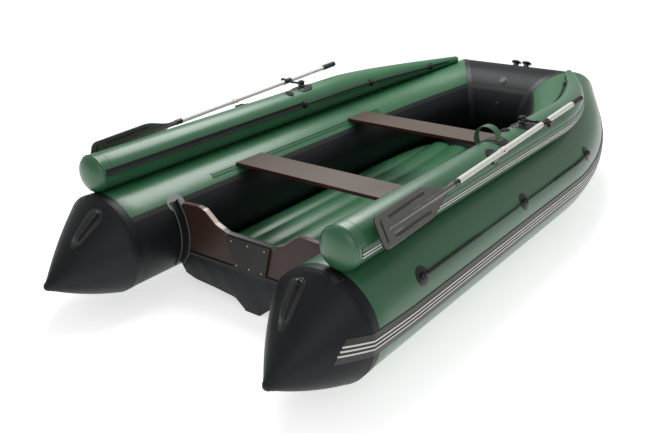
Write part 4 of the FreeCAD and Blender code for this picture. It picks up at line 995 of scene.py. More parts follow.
# Pale metallic trim on the transom's sloping shoulders; its pale colour is partly a painted highlight of the
# bright edge there.
TRIM_METAL_HIGHLIGHT = Finish("edge_trim_highlight", tint(136, 124, 116), tint(152, 140, 132), roughness=0.36, metallic=0.6)
BRASS = Finish("brass", tint(206, 170, 112), tint(220, 186, 130), roughness=0.25, metallic=1.0)
SHAFT = Finish("pale_shaft", tint(226, 226, 218), tint(234, 234, 228), roughness=0.26, coat=0.3)
BLADE = Finish("blade_plastic", tint(84, 83, 78), tint(92, 91, 86), roughness=0.30, weave_scale=900.0,
               weave=0.00003, coat=0.5, coat_roughness=0.2)
# Darker colour of the blade's slots and end bar, painted shade in those recesses; the rim takes the same
# colour.
BLADE_DARK = Finish("blade_recess_shade", tint(44, 44, 41), tint(54, 54, 50), roughness=0.5)
STRAKE = Finish("rub_strake", CHARCOAL, tint(58, 58, 56), roughness=0.4,
                stripes=tuple(Stripe(centre, 0.0033, WHITE) for centre in (0.028, 0.0435, 0.060)))
TRIM = Finish("fender_strake", *GREEN, roughness=0.4, stripes=(
    Stripe(0.0300, 0.0125, CHARCOAL), Stripe(0.0255, 0.0028, WHITE), Stripe(0.0385, 0.0028, WHITE)))
# The dark line along the rail's middle is painted shade in its slot.
RAIL = Finish("seat_rail", *GREEN, roughness=0.4, stripes=(Stripe(0.0, 0.0022, tint(24, 24, 24), 0.002),))


def dress(obj: Piece, finish: Finish, other: Optional[Finish] = None,
          where: Optional[FaceTest] = None) -> None:
    """Give a piece its finish.

    Args:
        obj: The piece.
        finish: Its finish.
        other: Finish of some of its faces.
        where: True for a face of the other finish.
    """
    obj.data.materials.clear()
    obj.data.materials.append(finish.build())
    if other:
        obj.data.materials.append(other.build())
        for polygon in obj.data.polygons:
            polygon.material_index = int(where(polygon))


def fit(obj: Piece, finish: Finish, slot: str, *nodes: str, body: str = "hull",
        angle: Optional[float] = None, turn_out: bool = False, other: Optional[Finish] = None,
        where: Optional[FaceTest] = None) -> None:
    """Finish a piece and put it on its body, in place of the nodes that it stands for.

    Args:
        obj: The piece.
        finish: Its finish.
        slot: Material slot that its finish belongs to; not used.
        nodes: CAD nodes that it replaces.
        body: Body that it rides on.
        angle: Angle up to which its edges are smooth, where it isn't shaded yet.
        turn_out: True to point its faces outwards first.
        other: Finish of some of its faces.
        where: True for a face of the other finish.
    """
    if turn_out:
        Bench.edit(obj, Bench.outward)
    if angle is not None:
        Bench.smooth(obj, angle)
    dress(obj, finish, other, where)
    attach(obj, body)
    if nodes:
        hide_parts(*nodes)
    log.info("%s: %d faces", obj.name, len(obj.data.polygons))


# ---- hull


@dataclass
class AirTubes:
    """Side tubes with their stern cones, and the front tube."""

    round_steps: int = 96
    cone_steps: int = 16
    tip_steps: int = 6
    runs: tuple[tuple[float, float, int], ...] = (
        (0.0, COURSE.straight, 16), (COURSE.straight, COURSE.bend_end, 40),
        (COURSE.bend_end, COURSE.bend_end + 1.0, 5))
    seam_angle: float = 141.0
    under_angle: float = -98.0
    cone_band: float = 0.045
    mitre_band: float = 0.040
    thick: float = 0.0012
    seam: Shape = Bench.band(0.030, 0.0012, 6, 0.004)
    front_width: float = 0.4
    front_steps: int = 24

    def build(self) -> None:
        """Make the tubes and their seam bands."""
        for side in Side:
            self.side_tube(side)
            self.seam_bands(side)
        fit(Bench.net("front_skin", span(-1.0, 1.0, self.front_steps), span(-180.0, 180.0, self.round_steps),
                      FRONT.run, lambda share, angle: (share * self.front_width,
                                                       radians(angle) * COURSE.radius)),
            BLACK_CLOTH, "black", "front_tube", angle=50.0)
        self.mitre_bands()

    def side_tube(self, side: Side) -> None:
        """Skin of one side tube, green on top and outboard, black inboard and on the cone.

        Args:
            side: Side of the boat.
        """
        skin = TubeSkin(side)
        tip = [-(COURSE.cone_long + COURSE.cone_tip * cos(angle))
               for angle in span(0.0, pi / 2.0, self.tip_steps)[:-1]]
        ways = tip + chain((-COURSE.cone_long, 0.0, self.cone_steps), *self.runs)
        turns = span(self.seam_angle - 360.0, self.seam_angle, self.round_steps)
        near = min(range(len(turns)), key=lambda index: abs(turns[index] - self.under_angle))
        turns[near] = self.under_angle
        obj = Bench.net(f"side_skin_{side.tag}", ways, turns, skin.run,
                        lambda way, angle: (way, radians(angle) * COURSE.radius))

        def is_black(face: Face) -> bool:
            """Whether a face is on the cone or on the inboard lower part."""
            flat = obj.data.uv_layers[0].data
            top = max(COURSE.arc(flat[index].uv.y) for index in face.loop_indices)
            return face.center.y < COURSE.start or top < self.under_angle + 0.1

        fit(obj, GREEN_CLOTH, "green", f"side_tube_{side.tag}", f"bow_tube_{side.tag}",
            f"stern_cone_{side.tag}", angle=50.0, other=BLACK_CLOTH, where=is_black)

    def seam_bands(self, side: Side) -> None:
        """Tape over the seams of a side tube.

        Args:
            side: Side of the boat.
        """
        skin = TubeSkin(side)
        fit(Bench.sweep(f"inner_seam_{side.tag}", chain(*self.runs), self.seam, lambda way, across, lift:
                        skin.run(way, self.seam_angle + COURSE.arc(across), lift)), TAPE, "black", angle=38.0)
        wide, high = self.cone_band, self.thick * 1.3
        ring = [(0.0, -0.0002), (0.0, self.thick), (0.0008, high), (wide / 2, high), (wide - 0.0008, high),
                (wide, -0.0002)]
        fit(Bench.hoop(f"cone_band_{side.tag}", skin, 0.0, ring, self.round_steps), BLACK_CLOTH, "black",
            angle=38.0)

    def mitre_bands(self) -> None:
        """Tape over the mitres and along the front tube's inner side."""
        wide, thick = self.mitre_band, self.thick
        ring = [(0.0, -0.0002), (0.0, thick), (wide / 2, thick), (wide - 0.0008, thick), (wide, -0.0002)]
        for side in Side:
            fit(Bench.sweep(f"mitre_band_{side.tag}", span(0.0, 360.0, self.round_steps), ring,
                            lambda angle, across, lift: FRONT.point(
                                (FRONT.mitre_way(angle, lift) - across) * side.value, angle, lift)),
                TAPE, "black", angle=38.0)
        middle = FRONT.clock(self.seam_angle)
        fit(Bench.sweep("front_seam", span(-1.0, 1.0, self.front_steps), self.seam, lambda share, across, lift:
                        FRONT.run(share, middle + COURSE.arc(across), lift)), TAPE, "black", angle=38.0)


@dataclass
class Fenders:
    """Tubes on top of the side tubes, with domed aft caps and a rounded tip."""

    round_steps: int = 64
    tip_long: float = 0.6

    def build(self) -> None:
        """Make both fenders."""
        rows = [(FENDER.start - FENDER.cap * sin(turn), FENDER.radius * (cos(turn) - 1.0))
                for turn in span(pi / 2.0, 0.0, 8)[:-1]]
        rows += [(way, 0.0) for way in span(FENDER.start, COURSE.straight, 16)[:-1]]
        rows += [(FENDER.way(share), 0.0) for share in span(0.0, 1.0, 48)]
        rows += [(FENDER.way(1.0) + FENDER.tip * self.tip_long * sin(turn),
                  FENDER.tip * (cos(turn) - 1.0)) for turn in span(0.0, pi / 2.0, 6)[1:]]
        for side in Side:
            skin = FenderSkin(side)
            fit(Bench.net(f"fender_skin_{side.tag}", range(len(rows)), span(-180.0, 180.0, self.round_steps),
                          lambda index, angle: skin.point(rows[index][0], angle, rows[index][1]),
                          lambda index, angle: (rows[index][0], radians(angle) * FENDER.radius)),
                GREEN_CLOTH, "green", f"fender_{side.tag}", f"fender_bow_{side.tag}", angle=60.0)


@dataclass
class Strakes:
    """Rub strakes of the side and front tubes and of the fenders."""

    low: float = -12.5
    high: float = 9.5
    lift: float = 3.0
    lift_start: float = 0.300
    power: float = 1.5
    thick: float = 0.007
    rib_half: float = 0.0034
    ribs: tuple[float, ...] = (0.028, 0.0435, 0.060)
    base: float = 0.0042
    tail_top: float = 0.082
    tail_low: float = 0.139
    tail_rise: float = 1.0
    trim_low: float = -18.0
    trim_high: float = 12.0
    trim_start: float = 0.060
    trim_last: float = 0.8
    trim_thick: float = 0.005
    trim_rib_half: float = 0.0029
    trim_ribs: tuple[float, ...] = (0.0255, 0.0385)
    trim_base: float = 0.0030

    @property
    def width(self) -> float:
        """Width of the rub strake."""
        return radians(self.high - self.low) * COURSE.radius

    @property
    def profile(self) -> Shape:
        """Outline of the rub strake."""
        return self.ribbed(self.width, self.base, self.thick, self.ribs, self.rib_half)

    def build(self) -> None:
        """Make all strakes."""
        for side in Side:
            self.rub_strake(side)
            self.fender_strake(side)
        high, low = FRONT.clock(self.high), FRONT.clock(self.low)
        fit(Bench.sweep("front_strake", span(-1.0, 1.0, 24), self.profile, lambda share, across, lift:
                        FRONT.run(share, high + (low - high) * across / self.width, lift)),
            STRAKE, "rubber", "rub_strake_front", angle=38.0)

    @staticmethod
    def ribbed(width: float, base: float, top: float, ribs: Sequence[float], half: float) -> Shape:
        """Outline of a moulded strake with raised lines.

        Args:
            width: Its width.
            base: Its lift between the lines.
            top: Lift of a line's top.
            ribs: Distance of each line from the upper edge.
            half: Half width of a line.

        Returns:
            Distances from the upper edge, and lifts.
        """
        outline = [(0.0, GLUE), (0.0, base * 0.5), (0.0016, base), (0.008, base)]
        for centre in ribs:
            outline += [(centre + way, lift) for way, lift in (
                (-half - 0.0010, base), (-half, top - 0.0004), (-half * 0.6, top),
                (half * 0.6, top), (half, top - 0.0004), (half + 0.0010, base))]
        outline += [(width - 0.0016, base), (width, base * 0.5), (width, GLUE)]
        return outline + [(width * share, GLUE) for share in (0.75, 0.5, 0.25)]

    def angle_at(self, way: float, across: float) -> float:
        """Angle of a line of the rub strake, which climbs aft and runs level over the cone.

        Args:
            way: Distance along the tube.
            across: Distance from the strake's upper edge.

        Returns:
            The angle, in degrees.
        """
        share = max(self.lift_start - max(way, 0.0), 0.0) / self.lift_start
        flat = self.high + self.lift * share ** self.power - COURSE.arc(across)
        if way >= 0.0:
            return flat
        seam_height = COURSE.height + (COURSE.radius + self.thick) * sin(radians(flat))
        height = seam_height - way * tan(radians(self.tail_rise))
        rise = (height - COURSE.section(way)[0].z) / (COURSE.thick(way) + self.thick)
        return degrees(asin(rise))

    def rub_strake(self, side: Side) -> None:
        """Strake of one side tube, climbing aft and cut at a slant on the cone.

        Args:
            side: Side of the boat.
        """
        skin, width = TubeSkin(side), self.width

        def place(way: float, across: float, lift: float) -> Vector:
            """Point of the strake, slanted on the cone."""
            if way < 0.0:
                far = self.tail_top + (self.tail_low - self.tail_top) * across / width
                way *= far / self.tail_low
            return skin.run(way, self.angle_at(min(way, COURSE.bend_end), across), lift)

        end = COURSE.bend_end
        ways = chain((-self.tail_low, 0.0, 8), (0.0, self.lift_start, 14),
                     (self.lift_start, COURSE.straight, 16), (COURSE.straight, end, 40), (end, end + 1.0, 4))
        fit(Bench.sweep(f"side_strake_{side.tag}", ways, self.profile, place), STRAKE, "rubber",
            f"rub_strake_{side.tag}", angle=38.0)

    def fender_strake(self, side: Side) -> None:
        """Strake of one fender.

        Args:
            side: Side of the boat.
        """
        skin, wide = FenderSkin(side), self.trim_high - self.trim_low
        width = radians(wide) * FENDER.radius
        profile = self.ribbed(width, self.trim_base, self.trim_thick, self.trim_ribs, self.trim_rib_half)
        ways = span(self.trim_start, COURSE.straight, 18)[:-1]
        ways += [FENDER.way(share) for share in span(0.0, self.trim_last, 36)]
        fit(Bench.sweep(f"fender_trim_{side.tag}", ways, profile, lambda way, across, lift:
                        skin.point(way, self.trim_high - wide * across / width, lift)),
            TRIM, "rubber", f"fender_strake_{side.tag}", angle=38.0)


@dataclass
class HullBottom:
    """Bottom cloth with its keel, and the pan that the floor lies in."""

    half: float = 0.4653
    edge: float = 0.078
    keel: float = -0.060
    flat: float = 0.044
    shape: Shape = ((1.0, 1.0), (0.93, 0.667), (0.784, 0.526), (0.52, 0.474), (0.23, 0.378), (0.115, 0.08))
    lifts: tuple[float, ...] = (0.0, 0.01, 0.05, 0.17, 0.42, 0.8)
    climb: float = 0.184
    start: float = 0.313
    front: float = 3.0034
    front_shift: float = 0.3262
    pan: float = 0.0577
    pan_end: float = 2.406
    pan_edge: float = 0.024
    slack: float = 0.35 / 3.0

    def rings(self) -> list[tuple[float, float, float]]:
        """Station, inward shift and lift of the keel at each ring.

        Returns:
            The rings, from the transom to the front tube.
        """
        found = [(way, 0.0, 0.0) for way in span(self.start, COURSE.straight, 10)[:-1]]
        for share in span(0.0, 1.0, 30):
            turn = COURSE.turn * share
            found.append((COURSE.straight + COURSE.bend_radius * sin(turn),
                          COURSE.bend_radius * (1.0 - cos(turn)),
                          float(np.interp(share, [step / 5.0 for step in range(6)], self.lifts))))
        return found + [(self.front, self.front_shift, 1.0)]

    def ring(self, station: float, shift: float, lift: float, pan: bool) -> list[Vector]:
        """Points round the bottom at one ring.

        Args:
            station: Its station.
            shift: How far the tubes have come inwards there.
            lift: Share of the keel's climb.
            pan: True where the floor's pan is sunk into it.

        Returns:
            Points from the starboard edge over the keel and back over the top.
        """
        half = self.half - cos(COURSE.lean) * shift
        edge = self.edge + sin(COURSE.lean) * shift
        keel = self.keel + self.climb * lift
        right = [Vector((half * across, keel + (edge - keel) * up)) for across, up in self.shape]
        slopes = [(after - before) * self.slack for before, after in beside(right)]
        fine = []
        for first, second, slope, next_slope in zip(right, right[1:], slopes, slopes[1:]):
            fine += interpolate_bezier(first, first + slope, second - next_slope, second, 5)[:-1]
        fine += [right[-1], (self.flat * half / self.half, keel)]
        inset, depth = half - self.pan_edge, self.pan if pan else edge
        shelf = [(-inset, edge), (-inset, depth), (inset, depth), (inset, edge)]
        around = fine + [(-x, height) for x, height in reversed(fine)] + shelf + fine[:1]
        return [row(x, station, height) for x, height in around]

    def build(self) -> None:
        """Make the bottom."""
        rings = self.rings()
        with_pan = [ring for ring in rings if ring[0] <= self.pan_end]
        loops = [self.ring(*ring, pan=True) for ring in with_pan]
        loops += [self.ring(*ring, pan=False) for ring in rings[len(with_pan) - 1:]]
        fit(Bench.net("bottom_skin", range(len(loops)), range(len(loops[0])),
                      lambda ring, index: loops[ring][index],
                      lambda ring, index: (loops[ring][index].y, loops[ring][index].x)),
            BLACK_CLOTH, "black", "hull_bottom", angle=32.0)


@dataclass
class FloorDeck:
    """Inflated floor with ribs along it."""

    start: float = 0.3463
    end: float = 2.520
    low: float = 0.058
    groove: float = 0.103
    crown: float = 0.118
    rib: float = 0.126
    ribs: int = 7
    inset: float = 0.0246
    nose: float = 0.040
    rounding: float = 0.030
    fullness: float = 2.5

    def shift(self, station: float) -> float:
        """How far the side tubes have come inwards at a station."""
        ahead = max(station - COURSE.straight, 0.0)
        return COURSE.bend_radius - sqrt(COURSE.bend_radius ** 2 - ahead ** 2)

    def half(self, station: float) -> float:
        """Half width of the floor at a station."""
        taper = self.nose * (max(station - COURSE.straight, 0.0) / (self.end - COURSE.straight)) ** 2
        return HullBottom.half - cos(COURSE.lean) * self.shift(station) - taper - self.inset

    def fall(self, away: float) -> float:
        """Fall of the rounded rim at a distance from the edge."""
        return self.rounding - sqrt(self.rounding ** 2 - max(self.rounding - away, 0.0) ** 2)

    def top(self, x: float, station: float) -> float:
        """Height of the floor's top.

        Args:
            x: Distance from the middle line.
            station: Station along the boat.

        Returns:
            The height over the tubes' underside.
        """
        place = x / self.rib + self.ribs / 2.0
        share = abs(2.0 * (place % 1.0) - 1.0)
        arch = self.groove + (self.crown - self.groove) * (1.0 - share ** self.fullness)
        near = min(station - self.start, self.end - station)
        rise = sin(COURSE.lean) * self.shift(station)
        return arch + rise - max(self.fall(self.half(station) - abs(x)), self.fall(near))

    def build(self) -> None:
        """Make the floor."""
        rim = [self.rounding * (1.0 - cos(angle)) for angle in span(0.0, pi / 2.0, 6)]
        ways = [self.start, *(self.start + away for away in rim[:-1])]
        ways += chain((self.start + rim[-1], COURSE.straight, 10),
                      (COURSE.straight, self.end - self.rounding, 12))
        ways += [*(self.end - away for away in reversed(rim[:-1])), self.end]
        edge, last = self.rib * self.ribs / 2.0, len(ways) - 1
        columns = [self.rib * (rib + (1.0 - cos(angle)) / 2.0) - edge
                   for rib in range(self.ribs) for angle in span(0.0, pi, 10)[:-1]]
        columns = [-1.0 - edge, *columns, edge, 1.0 + edge]

        def place(index: int, x: float) -> Vector:
            """Point of the floor, kept within its outline."""
            station = ways[index]
            kept = min(max(x, -self.half(station)), self.half(station))
            low = index in (0, last) or abs(x) > edge + 0.5
            return row(kept, station, self.low if low else self.top(kept, station))

        # The floor's finish paints shade into the grooves between its ribs.
        fit(Bench.net("floor_skin", range(len(ways)), columns, place, lambda index, x: (ways[index], x)),
            DECK, "green", "floor_deck", angle=50.0)


# ---- details


@dataclass
class Transom:
    """Plywood transom with its capping, trims, plates, rivets and the cloth below it."""

    station: float = 0.313
    thick: float = 0.027
    wall: float = 0.0014
    slope: Shape = mm(281, 396, 272, 392.5, 262, 386, 208, 342.3, 198, 337.2, 158, 322)
    notch: Shape = mm(-158, 322, -142, 315, -130, 312, 130, 312, 142, 315, 158, 322)
    rivet_face: float = 0.3006
    rivets: Shape = mm(-100, 288, 0, 288, 100, 288, -75, 172, 0, 172, 75, 172)
    rivet: Shape = mm(4.2, 0, 4.2, 0.6, 3.4, 1.7, 1.8, 2.4, 0.4, 2.6)
    skirt_top: float = 0.158
    skirt_half: float = 0.4319
    skirt_ring: float = 0.2626
    skirt_face: float = 0.3087
    skirt_bulge: float = 0.010
    skirt_thick: float = 0.003
    skirt_hem: float = 0.93
    rim_ends: tuple[float, float] = (141.0, 219.5)
    rims: Shape = mm(272.8, 5.2, 307.8, 22.0)
    rim: Shape = mm(-1.6, 0, 1.6, 0, 0.9, 1.4, -0.9, 1.4)

    def build(self) -> None:
        """Make the transom."""
        board = Bench.cast("transom_board", "board")
        Bench.bevel(board, 0.0015, 2)
        fit(board, PLY, "plywood", "transom_board", angle=30.0, other=PLY_EDGE,
            where=lambda face: abs(face.normal.y) < 0.5)
        self.channel("transom_capping", self.notch, 0.014, CAPPING, "plate")
        for side in Side:
            points = [(x * side.value, height) for x, height in self.slope]
            if side is Side.STARBOARD:
                points.reverse()
            # The shoulders' pale trims are partly a painted highlight of the board's edge.
            self.channel(f"shoulder_trim_{side.tag}", points, 0.001, TRIM_METAL_HIGHLIGHT, "shaft")
        for node in ("engine_plate", "inner_plate"):
            plate = Bench.cast(node, f"{node}_skin")
            Bench.bevel(plate, 0.0025, 3)
            fit(plate, PLATE, "plate", node, angle=30.0)
        turned = Matrix.Rotation(pi / 2.0, 4, "X")
        heads = [Bench.move(Bench.turned("rivet", self.rivet, 16),
                            Matrix.Translation(row(x, self.rivet_face, height)) @ turned)
                 for x, height in self.rivets]
        fit(Bench.join("plate_rivets", heads), BRASS, "shaft")
        self.skirt()
        rims = [Bench.sweep("rim", span(*self.rim_ends, 40), self.rim, lambda angle, across, rise:
                            skin.point(way + across, angle, lift + rise))
                for skin in map(TubeSkin, Side) for way, lift in self.rims]
        fit(Bench.join("profile_rims", rims), PALE_PATCH, "rubber", angle=38.0)

    def channel(self, name: str, points: Shape, leg: float, finish: Finish, slot: str) -> None:
        """Strip with two legs over the board's edge.

        Args:
            name: Piece's name.
            points: Distance from the middle line and height along the edge, to starboard.
            leg: How far its legs reach down the faces.
            finish: Its finish.
            slot: Its material slot.
        """
        wall, wide = self.wall, self.thick / 2.0 + self.wall
        outline = [(-wide, -leg), (-wide, wall), (wide, wall), (wide, -leg),
                   (wide - wall, -leg), (wide - wall, 0.0002), (wall - wide, 0.0002), (wall - wide, -leg)]
        leans = []
        for (x, height), (next_x, next_height) in beside(points):
            long = hypot(next_x - x, next_height - height)
            leans.append(((height - next_height) / long, (next_x - x) / long))

        def place(index: int, across: float, lift: float) -> Vector:
            """Point of the strip, square to the edge."""
            (x, height), (lean, rise) = points[index], leans[index]
            return row(x + lean * lift, self.station + self.thick / 2.0 + across, height + rise * lift)

        obj = Bench.sweep(name, range(len(points)), outline, place)
        Bench.bevel(obj, 0.0004, 2, 50.0)
        fit(obj, finish, slot, angle=30.0)

    def skirt(self) -> None:
        """Cloth from the plate's foot down to the keel, with a hem on top."""
        bottom, hem_up = HullBottom(), self.skirt_hem
        widths, heights = zip((0.0, bottom.keel), (bottom.flat, bottom.keel), *(
            (bottom.half * across, bottom.keel + (bottom.edge - bottom.keel) * up)
            for across, up in reversed(bottom.shape)))

        def place(across: float, up: float) -> Vector:
            """Point of the cloth, which swells aft between its edges."""
            x, high = across * self.skirt_half, self.skirt_top
            low = float(np.interp(abs(x), widths, heights))
            away = COURSE.gauge - abs(x)
            if away < self.skirt_ring:
                high = min(high, COURSE.radius - sqrt(self.skirt_ring ** 2 - away ** 2))
            swell = (1.0 - across ** 4) * sin(pi * min(up, hem_up) / hem_up)
            fold = 0.0012 * sin(21.0 * across + 5.0 * up) * sin(pi * up)
            hem = 0.0016 if hem_up < up < 0.999 else 0.0
            return row(x, self.skirt_face - self.skirt_bulge * swell - fold - hem, low + (high - low) * up)

        obj = Bench.net("transom_cloth", span(-1.0, 1.0, 60), span(0.0, 0.92, 14) + [0.935, 0.965, 0.99, 1.0],
                        place, closed=False)
        Bench.edit(obj, Bench.outward)
        if sum(face.normal.y for face in obj.data.polygons) > 0.0:
            Bench.edit(obj, bpy.ops.mesh.flip_normals)
        Bench.modify(obj, "SOLIDIFY", thickness=self.skirt_thick, offset=-1.0)
        fit(obj, BLACK_CLOTH, "black", "transom_skirt", angle=60.0)


@dataclass
class Seats:
    """Thwarts and the rails that they slide in."""

    rail_start: float = 0.598
    rail_end: float = 2.106
    rail_middle: float = 127.0
    rail: Shape = mirror(mm(16.6, 0.3, 16.6, 1.8, 15.4, 2.88, 10.6, 2.88, 9.1, 3.6, 5.5, 3.6, 3, 1.26))

    def build(self) -> None:
        """Make the thwarts and the rails."""
        for node in ("thwart_aft", "thwart_forward"):
            board = Bench.cast(node, f"{node}_board")
            Bench.bevel(board, 0.0016, 3)
            fit(board, THWART_PLY, "plywood", node, body=node, angle=30.0, other=PLY_EDGE,
                where=lambda face: abs(face.normal.z) < 0.6)
        ways = chain((self.rail_start, COURSE.straight, 12), (COURSE.straight, self.rail_end, 8))
        for skin in map(TubeSkin, Side):
            tag = skin.side.tag
            fit(Bench.sweep(f"rail_{tag}", ways, self.rail, lambda way, across, lift: skin.point(
                way, self.rail_middle + COURSE.arc(across), lift)),
                RAIL, "green", f"seat_rail_{tag}", angle=30.0)


@dataclass
class CarryHandles:
    """Moulded handles on the stern cones: an oval base with a raised rim, and a grip over a slot."""

    way: float = -0.110
    angle: float = 107.0
    half: float = 0.040
    base: Shape = mm(37, -2, 37, 2.2, 35.5, 3.4, 28.5, 4.6, 25.5, 10.5, 23, 12.8, 19.5, 11.8, 16, 3.5,
                     10, 1.2, 1, 1)
    grip_half: float = 0.058
    grip_rise: float = 0.033
    grip_wide: float = 0.0135

    def build(self) -> None:
        """Make both handles."""
        for side in Side:
            base = Bench.turned("base", self.base, 48)
            Bench.lengthen(base, self.half)
            Bench.modify(base, "TRIANGULATE")
            grip = Bench.net("grip", span(-1.0, 1.0, 28), span(0.0, TAU, 20), self.grip)
            obj = Bench.join(f"handle_{side.tag}", [base, grip])
            TubeSkin(side).bend(obj, self.way, self.angle)
            fit(obj, RUBBER, "rubber", f"cone_handle_{side.tag}", angle=40.0, turn_out=True)

    def grip(self, share: float, turn: float) -> Vector:
        """Point of the arched grip, modelled flat over the base.

        Args:
            share: Share of its half length, from -1 to 1.
            turn: Angle round it.

        Returns:
            The point.
        """
        far, out = abs(share), sin(turn)
        return Vector((self.grip_half * sin(share * pi / 2.0) + 0.0052 * out * share,
                       self.grip_wide * (1.0 + 0.15 * far) * cos(turn),
                       self.grip_rise * max(1.0 - far ** 3.2, 0.0) + 0.0055 * out * (1.0 - 0.4 * far)))


@dataclass
class Lines:
    """Grab lines, their cleats, and the strips and patches on the fenders."""

    outer_angle: float = 29.0
    inner_angle: float = 168.5
    lift: float = 0.0116
    outer_cleats: tuple[float, ...] = (0.385, 1.332, 2.161)
    double: float = 0.475
    double_radius: float = 0.0078
    single_radius: float = 0.0049
    inner_start: float = 1.499
    inner_shares: tuple[float, ...] = (0.235, 0.78)
    strip_shares: tuple[float, float] = (0.81, 0.93)
    strip: Shape = mirror(((10.0, GLUE), (10.0, 0.00195), (9.5, 0.0039), (7.2, 0.0039), (6.2, 0.00234),
                           (0.0, 0.00234)))
    disc: float = 0.042
    small_disc: float = 0.026
    cup: Shape = mm(17.5, 3.6, 16, 11, 14.5, 15, 12.5, 16.2, 11.2, 15, 10.4, 8, 2, 7)
    ball: Shape = mm(4, 6, 7.8, 8.5, 9.4, 12.5, 9, 16, 6.6, 19, 3, 20.4, 0.5, 20.6)
    patch_at: tuple[float, float] = (0.009, 72.0)
    patch: Shape = mm(24, 0.3, 24, 1.5, 23, 2.5, 12, 2.5, 1, 2.5)

    def build(self) -> None:
        """Make the lines and their fittings."""
        cleats, outer, inner = [], [], []
        first, _, last = self.outer_cleats
        runs = ((first, first + self.double, 2, self.double_radius),
                (first + self.double, last - self.double, 3, self.single_radius),
                (last - self.double, last, 2, self.double_radius))
        ways = [self.inner_start, *map(FENDER.way, self.inner_shares)]
        strips = ((FENDER.start + 0.008, self.inner_start - self.small_disc, 20),
                  (*map(FENDER.way, self.strip_shares), 6))
        for side in Side:
            tube, fender = TubeSkin(side), FenderSkin(side)
            cleats += [self.cleat(tube, way, self.outer_angle, self.disc) for way in self.outer_cleats]
            outer += [self.line(tube, self.outer_angle, *run) for run in runs]
            cleats += [self.cleat(fender, way, self.inner_angle, self.small_disc) for way in ways]
            inner.append(self.line(fender, self.inner_angle, ways[0], ways[-1], 2, self.double_radius))
            inner += [Bench.sweep("strip", span(*strip), self.strip, lambda way, across, lift:
                                  fender.point(way, self.inner_angle + across, lift)) for strip in strips]
            cleats.append(Bench.turned("cap_patch", self.patch))
            tube.bend(cleats[-1], *self.patch_at)
        for name, pieces, slot, finish, node in (
                ("line_cleats", cleats, "black", NYLON, "grab_line_patches"),
                ("outer_lines", outer, "rope", LINE, "grab_lines"),
                ("inner_lines", inner, "rope", LINE, "fender_lines")):
            fit(Bench.join(name, pieces), finish, slot, node, angle=45.0, turn_out=True)

    def cleat(self, skin: Skin, way: float, angle: float, radius: float) -> Piece:
        """Disc with a hollow cup and a ball in it, which the line goes through.

        Args:
            skin: Surface that it is glued to.
            way: Distance along the surface.
            angle: Angle round it.
            radius: Radius of the disc.

        Returns:
            The cleat.
        """
        disc = [(radius, GLUE), (radius, 0.0016), (radius - 0.0012, 0.0026), (radius * 0.72, 0.0028), *self.cup]
        pieces = [Bench.turned("disc", disc), Bench.turned("ball", self.ball, 24)]
        for piece in pieces:
            skin.bend(piece, way, angle)
        return Bench.join("cleat", pieces)

    def line(self, skin: Skin, angle: float, start: float, end: float, lobes: int,
             radius: float) -> Piece:
        """Line along a surface.

        Args:
            skin: Surface that it lies beside.
            angle: Angle round the surface.
            start: Way of its start.
            end: Way of its end.
            lobes: Strands that show round it.
            radius: Its radius.

        Returns:
            The line.
        """
        steps = max(int((end - start) / 0.008), 4)
        frames = [skin.stand(way, angle, self.lift) for way in span(start, end, steps)]
        return Bench.rope(frames, radius, lobes, 0.075 if lobes == 2 else 0.030)


LOOP_SKIN = FenderSkin(Side.STARBOARD)


